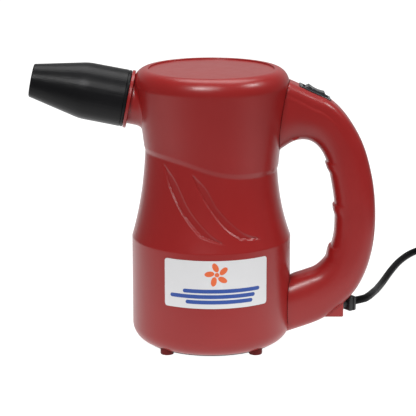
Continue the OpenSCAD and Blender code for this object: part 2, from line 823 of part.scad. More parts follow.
module armature_windings() color(copper) {
  slots = 12;
  bundle_r = 2.3;
  end_h = 6;
  for (z = [core_z - end_h - 0.05, core_z + core_h + 0.05]) ring(z, armature_r - 1.6, shaft_r + 1.5, end_h);
  for (i = [0:slots - 1]) rotate([0, 0, 360 * i / slots]) translate([armature_r - 4, 0, core_z - 1])
    cylinder(r = bundle_r, h = core_h + 2, $fn = 24);
}

module commutator() color(copper) {
  bars = 24;
  translate([0, 0, commutator_z]) difference() {
    cylinder(r = commutator_r, h = commutator_h);
    translate([0, 0, -e]) cylinder(r = shaft_r + 0.02, h = commutator_h + 2 * e);
    for (i = [0:bars - 1]) rotate([0, 0, 360 * i / bars])
      block([commutator_r - 1, commutator_r + 1], [-0.25, 0.25], [-e, commutator_h + e]);
  }
}

// A sector of a ring, centred on angle a
module sector(a, half_angle, r_in, r_out, h) {
  rotate([0, 0, a - half_angle]) rotate_extrude(angle = 2 * half_angle)
    translate([r_in, 0]) square([r_out - r_in, h]);
}

module stator_core() color(grey) {
  translate([0, 0, core_z]) difference() {
    union() {
      ring(0, stator_r, 26, core_h);
      for (a = [90, 270]) {
        sector(a, 58, stator_bore_r, 21, core_h);
        sector(a, 24, 20.5, 26.5, core_h);
      }
    }
    for (x = [-bolt_x, bolt_x]) translate([x, 0, -e]) cylinder(r = bolt_r + 0.02, h = core_h + 2 * e);
  }
}

module field_coils() color(copper) {
  over = 5;
  for (a = [90, 270]) translate([0, 0, core_z - over]) difference() {
    sector(a, 50, 21.2, 25.8, core_h + 2 * over);
    translate([0, 0, over - 0.1]) sector(a, 24.5, 19, 28, core_h + 0.2);
  }
}

module motor_frame() color(black) {
  arm_w = 9;
  post_z = [frame_ring_z, frame_arm_z + 4];
  difference() {
    union() {
      ring(frame_ring_z, stator_r, stator_r - 6, frame_ring_t);
      for (x = [-bolt_x, bolt_x]) translate([x, 0, 0]) disc(frame_z, 3.4, frame_ring_z - frame_z + 1);
      for (s = [-1, 1]) block([s * 28 - 2.5, s * 28 + 2.5], [-arm_w / 2, arm_w / 2], post_z);
      block([-30.5, 30.5], [-arm_w / 2, arm_w / 2], [frame_arm_z, frame_arm_z + 4]);
      disc(frame_arm_z, bearing_r + 2.5, top_bearing_z + bearing_h - frame_arm_z);
    }
    disc(frame_arm_z - e, shaft_shoulder_r + 2, 12);
    disc(top_bearing_z - 0.02, bearing_r + 0.02, 20);
    for (x = [-bolt_x, bolt_x]) translate([x, 0, 0]) disc(frame_z - e, bolt_r + 0.02, 40);
  }
}

module through_bolts() color(steel) {
  top = frame_arm_z + 4 + gap;
  for (x = [-bolt_x, bolt_x]) translate([x, 0, 0]) {
    disc(end_plate_z + 1.1, bolt_r, top - end_plate_z - 1);
    disc(top, 3, 2);
  }
}

module at_brushes() {
  for (a = [90, 270]) translate([0, 0, brush_mid_z]) rotate([0, 0, a]) children();
}

module brush_holders() color([0.75, 0.65, 0.4]) {
  at_brushes() difference() {
    block([13, 31], [-4.4, 4.4], [brush_z - brush_mid_z, 4.4]);
    block([12, 29.8], [-3.1, 3.1], [-3.1, 3.1]);
  }
}

module carbon_brushes() color([0.15, 0.15, 0.15]) {
  at_brushes() difference() {
    block([9, 23], [-3, 3], [-3, 3]);
    translate([0, 0, -10]) cylinder(r = commutator_r + 0.1, h = 20);
  }
}

module brush_springs() color(steel) {
  turns = 5;
  pitch = 1.3;
  at_brushes() for (i = [0:turns - 1]) translate([23.6 + i * pitch, 0, 0]) rotate([0, 90, 0])
    rotate_extrude($fn = 24) translate([2.1, 0]) circle(r = 0.4, $fn = 16);
}

module top_cushion() color(black) {
  top = top_bearing_z + bearing_h;
  ring(spider_z, bearing_r + 5.5, bearing_r + 2.5 + 0.02, top - spider_z + 2);
  disc(top + gap, bearing_r + 2.6, 2 - gap);
}

module motor_spider() color(black) {
  hub_r = bearing_r + 5.6;
  spider_t = 4;
  difference() {
    union() {
      ring(spider_z, hub_r + 3, hub_r, spider_t);
      for (a = spider_angles) rotate([0, 0, a])
        block([hub_r + 1, spider_r], [-spider_w / 2, spider_w / 2], [spider_z, spider_z + spider_t]);
    }
    disc(spider_z - e, hub_r, spider_t + 2 * e);
  }
}

on_axis() body_shell();
on_axis() top_cap();
on_axis() base_plate();
on_axis() feet();
on_axis() base_screws();
on_axis() label_plate();
on_axis() handle_front();
on_axis() handle_rear();
on_axis() handle_screws();
on_axis() switch_body();
on_axis() switch_terminals();
on_axis() switch_rocker();
strain_relief();
inner_cord();
on_axis() cord_clamp();
on_axis() mains_leads();
on_axis() motor_leads();
cord_tube();
cord_coil();
cord_tail();
cord_tie();
plug_body();
plug_blades();
on_axis() nozzle();
on_axis() filter_foam();
on_axis() filter_support();
on_axis() lower_cushion();
on_axis() fan_case();
on_axis() return_vanes();
on_axis() motor_plate();
on_axis() upper_gasket();
on_axis() stator_core();
on_axis() field_coils();
on_axis() motor_frame();
on_axis() through_bolts();
on_axis() brush_holders();
on_axis() carbon_brushes();
on_axis() brush_springs();
on_axis() top_cushion();
on_axis() motor_spider();
on_axis() bearing_outer_races();
on_axis() bearing_inner_races();
on_axis() bearing_balls();
on_axis() motor_shaft();
on_axis() armature_core();
on_axis() armature_windings();
on_axis() commutator();
on_axis() impeller_lower();
on_axis() impeller_upper();
on_axis() impeller_spacers();
on_axis() impeller_nut();
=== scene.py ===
"""Car dryer blower: the looks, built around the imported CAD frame.

Frame: metres, +Z up, handle towards +X, nozzle towards -X, the label faces -Y, feet on z = 0.
Shapes are written in millimetres and turned to metres where a mesh is made.
"""

import json
from math import asin, atan2, cos, degrees, hypot, pi, radians, sin, sqrt, tanh

import bmesh
import bpy
from mathutils import Matrix, Vector


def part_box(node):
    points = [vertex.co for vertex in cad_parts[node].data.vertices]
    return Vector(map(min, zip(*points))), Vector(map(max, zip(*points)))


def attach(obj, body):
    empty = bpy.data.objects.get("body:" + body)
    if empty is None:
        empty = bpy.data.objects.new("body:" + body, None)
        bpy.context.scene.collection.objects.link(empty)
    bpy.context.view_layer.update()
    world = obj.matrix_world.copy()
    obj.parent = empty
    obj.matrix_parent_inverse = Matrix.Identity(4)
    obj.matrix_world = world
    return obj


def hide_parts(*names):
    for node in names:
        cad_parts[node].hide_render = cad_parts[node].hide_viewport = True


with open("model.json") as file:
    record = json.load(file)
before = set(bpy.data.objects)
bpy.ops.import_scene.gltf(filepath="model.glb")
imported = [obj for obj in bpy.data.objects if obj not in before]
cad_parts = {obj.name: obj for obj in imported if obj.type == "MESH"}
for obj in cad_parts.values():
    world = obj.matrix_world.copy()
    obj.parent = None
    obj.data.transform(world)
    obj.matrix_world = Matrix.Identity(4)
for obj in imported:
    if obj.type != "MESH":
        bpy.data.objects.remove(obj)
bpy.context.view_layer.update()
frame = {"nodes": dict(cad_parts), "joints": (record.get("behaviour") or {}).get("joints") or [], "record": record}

MM = 0.001


def node_box(node):
    """Lowest and highest corner of a CAD node, in millimetres."""
    low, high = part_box(node)
    return low / MM, high / MM


# ---- places taken from the frame

CAP_LOW, CAP_HIGH = node_box("top_cap")
SHELL_LOW, SHELL_HIGH = node_box("body_shell")
AXIS_X = (CAP_LOW.x + CAP_HIGH.x) / 2
BASE_R = SHELL_HIGH.x - AXIS_X
BASE_Z = SHELL_LOW.z
RIM_Z = SHELL_HIGH.z
CAP_R = (CAP_HIGH.x - CAP_LOW.x) / 2
CAP_Z = CAP_HIGH.z
JOINT_AXES = {joint["name"]: Vector(joint["axis"]) for joint in frame["joints"]}
OUT_AXIS = JOINT_AXES["nozzle_pull"].normalized()


def add_object(name, data):
    """A new object in the scene."""
    made = bpy.data.objects.new(name, data)
    bpy.context.scene.collection.objects.link(made)
    return made


# ---- camera

CAMERA_PLACE = (0.00345, -1.308, 0.4234)
CAMERA_TILT = 76.2
CAMERA_LENS = 155.77


def make_camera():
    camera = bpy.data.cameras.new("camera")
    camera.sensor_width = 36
    camera.lens = CAMERA_LENS
    camera.clip_end = 20
    holder = add_object("camera", camera)
    holder.location = CAMERA_PLACE
    holder.rotation_euler = (radians(CAMERA_TILT), 0, 0)
    bpy.context.scene.camera = holder


# ---- mesh helpers


def turned(angle, axis):
    """A rotation about the X, Y or Z axis, by an angle in degrees."""
    return Matrix.Rotation(radians(angle), 4, axis)


def shifted(x, y, z):
    return Matrix.Translation((x, y, z))


def blend_value(low, high, t):
    return low + (high - low) * t


def smoothstep(low, high, value):
    t = min(1, max(0, (value - low) / (high - low)))
    return t * t * (3 - 2 * t)


def curve_points(points, steps):
    """Points of the smooth (Catmull-Rom) curve through a list of points or numbers."""
    count = len(points)
    vectors = [Vector(p) if hasattr(p, "__len__") else p for p in points]
    result = []
    for i in range(count - 1):
        a = vectors[max(i - 1, 0)]
        b = vectors[i]
        c = vectors[i + 1]
        d = vectors[min(i + 2, count - 1)]
        for k in range(steps):
            t = k / steps
            square = (2 * a - 5 * b + 4 * c - d) * t**2
            cube = (3 * b - a - 3 * c + d) * t**3
            result.append(0.5 * (2 * b + (c - a) * t + square + cube))
    result.append(vectors[-1])
    return result


def mesh_object(name, points, faces, place=None):
    """An object whose mesh has these points, given in millimetres and moved by the matrix place."""
    mesh = bpy.data.meshes.new(name)
    moved = [place @ Vector(p) for p in points] if place else [Vector(p) for p in points]
    mesh.from_pydata([p * MM for p in moved], [], faces)
    mesh.validate()
    work = bmesh.new()
    work.from_mesh(mesh)
    bmesh.ops.recalc_face_normals(work, faces=work.faces)
    work.to_mesh(mesh)
    work.free()
    return add_object(name, mesh)


def grid_faces(rows, columns, row_loop=False, column_loop=True):
    """Quads of a grid of points stored row by row."""
    faces = []
    for i in range(rows if row_loop else rows - 1):
        below = i * columns
        above = (i + 1) % rows * columns
        for k in range(columns if column_loop else columns - 1):
            n = (k + 1) % columns
            faces.append((below + k, below + n, above + n, above + k))
    return faces


def lathe(name, profile, place=None, steps=128, shape=None):
    """A solid turned round Z from (radius, height) points. Open ends on the axis are closed to a point.

    shape(radius, height, angle) may change the radius, to mould flutes or grips."""
    rows = [p for p in profile if p[0] > 0]
    points = []
    for radius, height in rows:
        for k in range(steps):
            angle = 2 * pi * k / steps
            r = shape(radius, height, angle) if shape else radius
            points.append((r * cos(angle), r * sin(angle), height))
    on_axis = profile[0][0] == 0
    faces = grid_faces(len(rows), steps, row_loop=not on_axis)
    if on_axis:
        first = len(points)
        points.append((0, 0, profile[0][1]))
        points.append((0, 0, profile[-1][1]))
        last_row = (len(rows) - 1) * steps
        for k in range(steps):
            n = (k + 1) % steps
            faces.append((first, n, k))
            faces.append((first + 1, last_row + k, last_row + n))
    return mesh_object(name, points, faces, place)


def loft(name, sections, place=None):
    """A solid through outlines of one point count, each with its height: [(outline, z), ...]."""
    count = len(sections[0][0])
    points = [(x, y, z) for outline, z in sections for x, y in outline]
    faces = grid_faces(len(sections), count)
    faces.append(tuple(range(count)))
    faces.append(tuple(range((len(sections) - 1) * count, len(sections) * count)))
    return mesh_object(name, points, faces, place)


def slab(name, outline, low, high, place=None):
    """A flat solid with an outline in X and Y."""
    return loft(name, [(outline, low), (outline, high)], place)


def box_piece(name, low, high, place=None):
    outline = [(low[0], low[1]), (high[0], low[1]), (high[0], high[1]), (low[0], high[1])]
    return slab(name, outline, low[2], high[2], place)


def cylinder(name, radius, low, high, place=None, steps=48):
    return slab(name, arc((0, 0), radius, 0, 360 - 360 / steps, steps - 1), low, high, place)


def arc(centre, radius, start, end, steps):
    """Points of an arc, angles in degrees."""
    result = []
    for k in range(steps + 1):
        angle = radians(blend_value(start, end, k / steps))
        result.append((centre[0] + radius * cos(angle), centre[1] + radius * sin(angle)))
    return result


def rounded_rectangle(width, height, radius, steps=6):
    """Outline of a rectangle centred on the origin, with round corners."""
    x = width / 2 - radius
    y = height / 2 - radius
    corners = [((x, y), 0), ((-x, y), 90), ((-x, -y), 180), ((x, -y), 270)]
    outline = []
    for centre, start in corners:
        outline += arc(centre, radius, start, start + 90, steps)
    return outline


def tube_points(path, radius, sides):
    """Rings of points round a path that never runs straight up, row by row."""
    up = Vector((0, 0, 1))
    points = []
    for i, p in enumerate(path):
        ahead = (path[min(i + 1, len(path) - 1)] - path[max(i - 1, 0)]).normalized()
        side = ahead.cross(up).normalized()
        top = side.cross(ahead)
        for k in range(sides):
            angle = 2 * pi * k / sides
            points.append(p + radius * (cos(angle) * side + sin(angle) * top))
    return points


def apply_modifiers(piece):
    bpy.context.view_layer.update()
    evaluated = piece.evaluated_get(bpy.context.evaluated_depsgraph_get())
    mesh = bpy.data.meshes.new_from_object(evaluated)
    piece.modifiers.clear()
    piece.data = mesh


def carve(piece, *tools, operation="DIFFERENCE"):
    """Cuts tools from a piece, or joins them to it, and deletes them."""
    for tool in tools:
        cut = piece.modifiers.new("cut", "BOOLEAN")
        cut.operation = operation
        cut.solver = "EXACT"
        cut.object = tool
        apply_modifiers(piece)
        bpy.data.objects.remove(tool)
    return piece


def bevel(piece, width, segments=3, angle=35):
    """Rounds the edges of a piece that are sharper than angle."""
    round_edges = piece.modifiers.new("bevel", "BEVEL")
    round_edges.width = width * MM
    round_edges.segments = segments
    round_edges.limit_method = "ANGLE"
    round_edges.angle_limit = radians(angle)
    round_edges.harden_normals = False
    apply_modifiers(piece)
    return piece


def join(name, pieces):
    """One object with the meshes of several."""
    whole = bmesh.new()
    for piece in pieces:
        whole.from_mesh(piece.data)
        bpy.data.objects.remove(piece)
    mesh = bpy.data.meshes.new(name)
    whole.to_mesh(mesh)
    whole.free()
    return add_object(name, mesh)


def settle(piece, material, body, slot, *nodes, sharp=35):
    """Shades a piece, gives it its material and body, and hides the CAD nodes it stands for. The slot argument is
    not used.
    """
    piece.data.shade_smooth()
    piece.data.set_sharp_from_angle(angle=radians(sharp))
    piece.data.materials.clear()
    piece.data.materials.append(material)
    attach(piece, body)
    if nodes:
        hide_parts(*nodes)
    return piece


# ---- materials


def add_node(tree, kind, values=None, **settings):
    """A shader node with these settings and these values on its sockets."""
    made = tree.nodes.new(kind)
    for key, value in settings.items():
        setattr(made, key, value)
    for socket, value in (values or {}).items():
        made.inputs[socket].default_value = value
    return made


MATERIALS = {}


class Shader:
    """A Principled material with shape coordinates in metres, kept in MATERIALS under its name."""

    def __init__(self, name, roughness=0.5, metallic=0.0, **sockets):
        self.material = bpy.data.materials.new(name)
        MATERIALS[name] = self.material
        self.material.use_nodes = True
        self.tree = self.material.node_tree
        self.surface = self.tree.nodes["Principled BSDF"]
        self.surface.inputs["Roughness"].default_value = roughness
        self.surface.inputs["Metallic"].default_value = metallic
        for socket, value in sockets.items():
            self.surface.inputs[socket.replace("_", " ")].default_value = value
        self.place = self.node("ShaderNodeTexCoord").outputs["Object"]

    def node(self, kind, values=None, **settings):
        return add_node(self.tree, kind, values, **settings)

    def link(self, output, target):
        self.tree.links.new(output, target)

    def noise(self, scale, detail=4.0, roughness=0.55, stretch=None):
        """Noise with features about 1 / scale metres across."""
        made = self.node("ShaderNodeTexNoise", {"Scale": scale, "Detail": detail, "Roughness": roughness})
        self.link(self.stretched(stretch), made.inputs["Vector"])
        return made.outputs["Fac"]

    def stretched(self, stretch):
        if stretch is None:
            return self.place
        scaled = self.node("ShaderNodeMapping", {"Scale": stretch})
        self.link(self.place, scaled.inputs["Vector"])
        return scaled.outputs["Vector"]

    def spread(self, value, low, high, from_low=0.3, from_high=0.7):
        """Maps a pattern to a range of numbers."""
        values = {"From Min": from_low, "From Max": from_high, "To Min": low, "To Max": high}
        made = self.node("ShaderNodeMapRange", values)
        self.link(value, made.inputs["Value"])
        return made.outputs["Result"]

    def mix(self, factor, first, second):
        """A colour between two colours, each a tuple or an output."""
        made = self.node("ShaderNodeMix", data_type="RGBA")
        self.link(factor, made.inputs["Factor"])
        colour_inputs = [s for s in made.inputs if s.type == "RGBA"]
        for value, socket in zip((first, second), colour_inputs):
            if isinstance(value, tuple):
                socket.default_value = (*value, 1)
            else:
                self.link(value, socket)
        return [s for s in made.outputs if s.type == "RGBA"][0]

    def colour(self, output):
        self.link(output, self.surface.inputs["Base Color"])

    def rough(self, output):
        self.link(output, self.surface.inputs["Roughness"])

    def bump(self, height, distance, strength=0.5):
        """Adds relief: distance is in millimetres."""
        made = self.node("ShaderNodeBump", {"Strength": strength, "Distance": distance * MM})
        self.link(height, made.inputs["Height"])
        before = self.surface.inputs["Normal"]
        if before.is_linked:
            self.link(before.links[0].from_socket, made.inputs["Normal"])
        self.link(made.outputs["Normal"], before)


def shade(colour, factor):
    return tuple(min(1, c * factor) for c in colour)


def moulded(name, colour, roughness, grain=2600, grain_depth=0.02, mottle=0.12, **sockets):
    """Moulded plastic or rubber: fine spark grain, faint flow marks and scuffs."""
    look = Shader(name, roughness, **sockets)
    clouds = look.noise(22, detail=3)
    fine = look.noise(grain, detail=2)
    scuffs = look.noise(160, detail=6, roughness=0.7, stretch=(1, 1, 0.35))
    base = look.mix(look.spread(clouds, 0, 1), shade(colour, 1 - mottle), shade(colour, 1 + mottle))
    worn = look.mix(look.spread(scuffs, 0, 0.3, 0.62, 0.8), base, shade(colour, 1.3))
    look.colour(worn)
    look.rough(look.spread(scuffs, roughness - 0.02, roughness + 0.03))
    look.bump(fine, grain_depth)


def metal(name, colour, roughness):
    """Machined or pressed metal: brushing along one direction, with duller patches."""
    look = Shader(name, roughness, metallic=1.0)
    lines = look.noise(60, detail=6, roughness=0.65, stretch=(1, 1, 40))
    patches = look.noise(45, detail=3)
    look.colour(look.mix(look.spread(patches, 0, 1), shade(colour, 0.86), shade(colour, 1.08)))
    look.rough(look.spread(lines, roughness - 0.08, roughness + 0.12))
    look.bump(lines, 0.02)


SCRATCH_LENGTH = 60      # in scratch widths


def drawn(look, direction, spacing, depth):
    """Adds fine scratches that run along a direction tilted in the XZ plane; spacing in millimetres."""
    values = {"Rotation": (0, asin(direction.z), 0), "Scale": (SCRATCH_LENGTH, 1, 1)}
    along = look.node("ShaderNodeMapping", values, vector_type="TEXTURE")
    look.link(look.place, along.inputs["Vector"])
    lines = look.node("ShaderNodeTexNoise", {"Scale": 1 / (spacing * MM), "Detail": 3})
    look.link(along.outputs["Vector"], lines.inputs["Vector"])
    look.bump(lines.outputs["Fac"], depth)


def nozzle_finish(name, colour, roughness):
    """Black plastic with the grain of the mould and faint lines drawn along the nozzle."""
    look = Shader(name, roughness, Specular_IOR_Level=0.16)
    clouds = look.noise(22, detail=3)
    look.colour(look.mix(look.spread(clouds, 0, 1), shade(colour, 0.85), shade(colour, 1.15)))
    look.rough(look.spread(look.noise(160, detail=6), roughness - 0.02, roughness + 0.03))
    drawn(look, OUT_AXIS, 1.6, 0.25)
    look.bump(look.noise(1800, detail=2), 0.02)


WAVE_PERIOD = 0.314      # the wave texture's period at a scale of 1


def striped(name, first, second, pitch, roughness):
    """Laid wire or laminations: metal stripes a pitch of so many millimetres apart, one above another."""
    look = Shader(name, roughness, metallic=0.9)
    values = {"Scale": WAVE_PERIOD / (pitch * MM), "Distortion": 0.25}
    bands = look.node("ShaderNodeTexWave", values, wave_type="BANDS", bands_direction="Z")
    look.link(look.place, bands.inputs["Vector"])
    patches = look.noise(90, detail=3)
    tone = look.mix(bands.outputs["Fac"], first, second)
    look.colour(look.mix(look.spread(patches, 0, 0.3), tone, shade(second, 1.25)))
    look.rough(look.spread(patches, roughness - 0.06, roughness + 0.1))
    look.bump(bands.outputs["Fac"], 0.15, strength=0.8)


def foam(name, colour):
    """Open-cell filter foam: lighter struts, with painted shade darkening the hollow in the middle of each cell.
    """
    look = Shader(name, 0.9)
    cells = look.node("ShaderNodeTexVoronoi", {"Scale": 900}, feature="DISTANCE_TO_EDGE")
    look.link(look.place, cells.inputs["Vector"])
    distance = cells.outputs["Distance"]
    # Painted shade: the colour darkens towards the middle of each cell, where its hollow lies.
    look.colour(look.mix(look.spread(distance, 0, 1, 0.02, 0.25), colour, shade(colour, 0.2)))
    look.bump(distance, 0.6, strength=0.9)


def woven(name, colour):
    """Hook-and-loop strap: a fine weave with fuzz."""
    look = Shader(name, 0.85, Sheen_Weight=0.3)
    warp = look.noise(1500, detail=2, stretch=(1, 1, 0.3))
    weft = look.noise(1500, detail=2, stretch=(0.3, 0.3, 1))
    look.colour(look.mix(look.spread(warp, 0, 1), shade(colour, 0.7), shade(colour, 1.3)))
    look.bump(warp, 0.12)
    look.bump(weft, 0.12)


RED = (0.285, 0.013, 0.0125)
BLACK = (0.013, 0.013, 0.0145)
STEEL = (0.62, 0.63, 0.65)
COPPER = (0.62, 0.24, 0.1)

moulded("housing_red", RED, 0.3, 1500, 0.012, mottle=0.04, Specular_IOR_Level=0.45)
moulded("foot_red", shade(RED, 0.4), 0.6, mottle=0.1, Specular_IOR_Level=0.2)
nozzle_finish("nozzle_black", shade(BLACK, 0.5), 0.34)
moulded("inner_black", shade(BLACK, 1.3), 0.55, mottle=0.15)
# switch_black is partly its own dark grey and partly painted sheen: the black is lightened 2.2 times so that the
# rocker's top reads as lit.
moulded("switch_black", shade(BLACK, 2.2), 0.25, 3000, 0.01, mottle=0.1, Specular_IOR_Level=0.8)
moulded("gland_black", BLACK, 0.5, mottle=0.15)
moulded("cord_rubber", shade(BLACK, 0.3), 0.5, 1400, 0.03, mottle=0.2, Specular_IOR_Level=0.04)
moulded("plug_rubber", BLACK, 0.5, mottle=0.15)
moulded("label_white", (0.7, 0.7, 0.71), 0.35, grain=900, grain_depth=0.01, mottle=0.02)
moulded("print_orange", (0.75, 0.14, 0.04), 0.35, grain=900, grain_depth=0.005, mottle=0.04)
moulded("print_blue", (0.02, 0.07, 0.32), 0.35, grain=900, grain_depth=0.005, mottle=0.04)
woven("tie_grey", (0.06, 0.06, 0.065))
metal("blade_brass", (0.72, 0.58, 0.3), 0.3)
moulded("lead_blue", (0.02, 0.05, 0.25), 0.35, mottle=0.1)
moulded("lead_red", (0.3, 0.03, 0.02), 0.35, mottle=0.1)
foam("foam_grey", (0.09, 0.09, 0.095))
moulded("cushion_rubber", (0.02, 0.02, 0.02), 0.75, grain=900, grain_depth=0.08)
metal("fan_aluminium", (0.8, 0.81, 0.83), 0.32)
moulded("bracket_alloy", (0.5, 0.51, 0.53), 0.45, grain=700, grain_depth=0.08, Metallic=1.0)
striped("core_steel", (0.12, 0.12, 0.13), (0.3, 0.3, 0.32), 0.5, 0.4)
striped("winding_copper", shade(COPPER, 0.35), COPPER, 0.6, 0.3)
metal("bright_steel", STEEL, 0.25)
moulded("carbon", (0.025, 0.025, 0.027), 0.5, grain=700, grain_depth=0.05)

# ---- body

ON_AXIS = shifted(AXIS_X, 0, 0)
WAIST_R = 49.5
WAIST_Z = 142.2
WAIST_DROP = 7.1
DROP_ANGLE = -9          # degrees from the front where the band drops most steeply
DROP_SPREAD = 26
BELLY_EASE = (0.3, 2.2)  # share of straight slope and power of the curve, below the band
CHEST_EASE = (0.6, 1.6)  # the same above the band
SHOULDER_R = 57.6
SHOULDER_Z = 196.5
RIM_R = 47.6
BELT_Z = 82
CORNER_R = 13
BAND_HALF = 1.85
BAND_LEAN = 0.45         # how far the band leans out at its top and in at its bottom
WALL = 2.5
PLATE_SEAT_R = 50.2
OPENING_R = 42.6
FLOOR_Z = (6, 9)
CAP_SEAT_R = CAP_R + 0.05
CAP_SKIRT_R = 43.4
CAP_T = 2.8
GROOVE_DEPTH = 1.4
LOWER_WALL = 1
UPPER_WALL = 0.9
FLOOR_RISE = 0.7         # share of the depth lost across the floor
TIP_WIDTH = 1.8          # the groove gets shallower where it is narrower than this
# Each groove's lower edge down to its corner, the foot beyond the corner, then the upper edge:
# degrees from the front towards the handle, height
GROOVES = [
    (
        [(-46.5, 146), (-37.9, 127.4), (-22.2, 107.4), (-8.4, 93.6)],
        [(-8.4, 93.6), (0.4, 90.7), (12.5, 87.4)],
        [(-46.5, 146), (-31.8, 133.3), (-17.8, 112.8), (-0.5, 95.5), (12.5, 87.4)],
    ),
    (
        [(-18.6, 140.8), (-10, 124.5), (2.8, 107.2), (12.4, 97.4), (21.9, 91)],
        [(21.9, 91), (31, 90.2), (44.5, 89)],
        [(-18.6, 140.8), (-5.3, 129.7), (4, 115.3), (15.1, 103.7), (27.1, 94.7), (44.5, 89)],
    ),
]


def folded(phi):
    """An angle from the front, positive towards the handle, with the back folded onto the front."""
    return 180 - phi if phi > 90 else phi


def waist_z(phi):
    """Height of the narrow band, which drops towards the handle."""
    return WAIST_Z - WAIST_DROP * tanh((folded(phi) - DROP_ANGLE) / DROP_SPREAD)


def eased(t, linear, power):
    t = max(0, t)
    return linear * t + (1 - linear) * t**power


def body_radius(phi, z):
    """Outside radius of the body, without its grooves."""
    middle = waist_z(phi)
    corner_z = BASE_Z + CORNER_R
    if z < corner_z:
        return BASE_R - CORNER_R + sqrt(max(0, CORNER_R**2 - (corner_z - z) ** 2))
    if z < BELT_Z:
        return BASE_R
    if z < middle - BAND_HALF:
        t = (middle - BAND_HALF - z) / (middle - BAND_HALF - BELT_Z)
        return blend_value(WAIST_R - BAND_LEAN, BASE_R, eased(t, *BELLY_EASE))
    if z < middle + BAND_HALF:
        return WAIST_R + BAND_LEAN * (z - middle) / BAND_HALF
    if z < SHOULDER_Z:
        t = (z - middle - BAND_HALF) / (SHOULDER_Z - middle - BAND_HALF)
        return blend_value(WAIST_R + BAND_LEAN, SHOULDER_R, eased(t, *CHEST_EASE))
    t = (z - SHOULDER_Z) / (RIM_Z - SHOULDER_Z)
    return RIM_R + (SHOULDER_R - RIM_R) * sqrt(max(0, 1 - t * t))


def edge_at(edge, phi):
    """Height and slope of a groove's edge at an angle."""
    for a, b in zip(edge, edge[1:]):
        if phi <= b.x:
            rise = (b.y - a.y) / (b.x - a.x)
            return a.y + rise * (phi - a.x), rise / radians(WAIST_R)
    return edge[-1].y, 0


GROOVE_EDGES = [
    (curve_points(low, 6)[:-1] + curve_points(foot, 6), curve_points(high, 6)) for low, foot, high in GROOVES
]


def groove_depth(phi, z):
    """Depth of the grooves: a steep wall at the lower edge, then a floor that rises to the upper one."""
    for low_edge, high_edge in GROOVE_EDGES:
        if low_edge[0].x < phi < low_edge[-1].x:
            low, rise = edge_at(low_edge, phi)
            high, _ = edge_at(high_edge, phi)
            if low < z < high:
                lean = 1 / sqrt(1 + rise * rise)
                width = (high - low) * lean
                across = (z - low) * lean
                lower = smoothstep(0, LOWER_WALL, across)
                upper = 1 - smoothstep(width - UPPER_WALL, width, across)
                floor = 1 - FLOOR_RISE * across / width
                return GROOVE_DEPTH * (lower * upper) * floor * smoothstep(0, TIP_WIDTH, width)
    return 0


def spaced(low, high, count):
    """Numbers from low up to but without high."""
    return [blend_value(low, high, i / count) for i in range(count)]


def skin_heights(phi):
    """Heights of the outer skin's rows at an angle."""
    middle = waist_z(phi)
    first = degrees(asin((PLATE_SEAT_R - BASE_R + CORNER_R) / CORNER_R))
    heights = [BASE_Z + CORNER_R * (1 - cos(radians(a))) for a in spaced(first, 90, 12)]
    heights += spaced(BASE_Z + CORNER_R, BELT_Z - 0.6, 10) + [BELT_Z - 0.6]
    heights += spaced(BELT_Z, middle - BAND_HALF, 84)
    heights += spaced(middle - BAND_HALF, middle + BAND_HALF, 4)
    heights += [middle + BAND_HALF] + spaced(middle + BAND_HALF + 0.6, SHOULDER_Z, 36)
    rise = RIM_Z - SHOULDER_Z
    heights += [SHOULDER_Z + rise * sin(radians(a)) for a in spaced(0, 91, 18)]
    return heights


def skin_angles():
    """Angles of the body's columns, closer together where the grooves are."""
    fine = 46
    angles = []
    for middle in (0, 180):
        angles += spaced(middle - 90, middle - fine, 18)
        angles += spaced(middle - fine, middle + fine, 134)
        angles += spaced(middle + fine, middle + 90, 18)
    return angles


def body_column(phi):
    """(radius, height) points round the wall's section at an angle: outside, rim, inside, floor."""
    outside = [(body_radius(phi, z) - groove_depth(folded(phi), z), z) for z in skin_heights(phi)]
    rim = [
        (CAP_SEAT_R + 0.15, RIM_Z - 0.05), (CAP_SEAT_R, RIM_Z - 0.3), (CAP_SEAT_R, CAP_Z - CAP_T - 0.1),
        (CAP_SKIRT_R + 0.1, CAP_Z - CAP_T - 0.1), (CAP_SKIRT_R + 0.1, CAP_Z - 2 * CAP_T),
    ]
    inside = [(body_radius(phi, z) - WALL, z) for z in spaced(SHOULDER_Z, BASE_Z + CORNER_R, 24)]
    inner_floor = [(PLATE_SEAT_R + 4, FLOOR_Z[1]), (OPENING_R, FLOOR_Z[1])]
    return outside + rim + inside + inner_floor + [(OPENING_R, FLOOR_Z[0]), (PLATE_SEAT_R, FLOOR_Z[0])]


FOOT_PLACES = [(x, y) for x in (-32.7, 32.7) for y in (-36.8, 36.8)]
FOOT_R = 5
FOOT_TOP = 6.5
FOOT_SEAT_Z = 7.6
STEM_R = 2
STEM_TOP = 12.4
SCREW_CIRCLE = 46.8
BASE_SCREW_PLACES = [(SCREW_CIRCLE, 0), (0, SCREW_CIRCLE), (-SCREW_CIRCLE, 0), (0, -SCREW_CIRCLE)]


def upright(x, y):
    return ON_AXIS @ shifted(x, y, 0)


# ---- outlet and nozzle

OUTLET_CROSSING = Vector((AXIS_X, 0, 173.2))
ON_OUTLET = Matrix.Translation(OUTLET_CROSSING) @ OUT_AXIS.to_track_quat("Z", "X").to_matrix().to_4x4()
SPOUT_R = 18
BORE_R = 14.5
RING_Z = (60.5, 62.8)
RING_R = 21.5
SPIGOT_R = 17.5
SPIGOT_END = 88
SKIRT = 4.5


def surface_distance(radius, angle):
    """How far along the outlet a line at this radius and angle leaves the body's skin, by halving."""
    low, high = 30, 70
    for _ in range(24):
        middle = (low + high) / 2
        point = ON_OUTLET @ Vector((radius * cos(angle), radius * sin(angle), middle))
        x = point.x - AXIS_X
        phi = degrees(atan2(x, abs(point.y)))
        if hypot(x, point.y) < body_radius(phi, point.z):
            low = middle
        else:
            high = middle
    return low


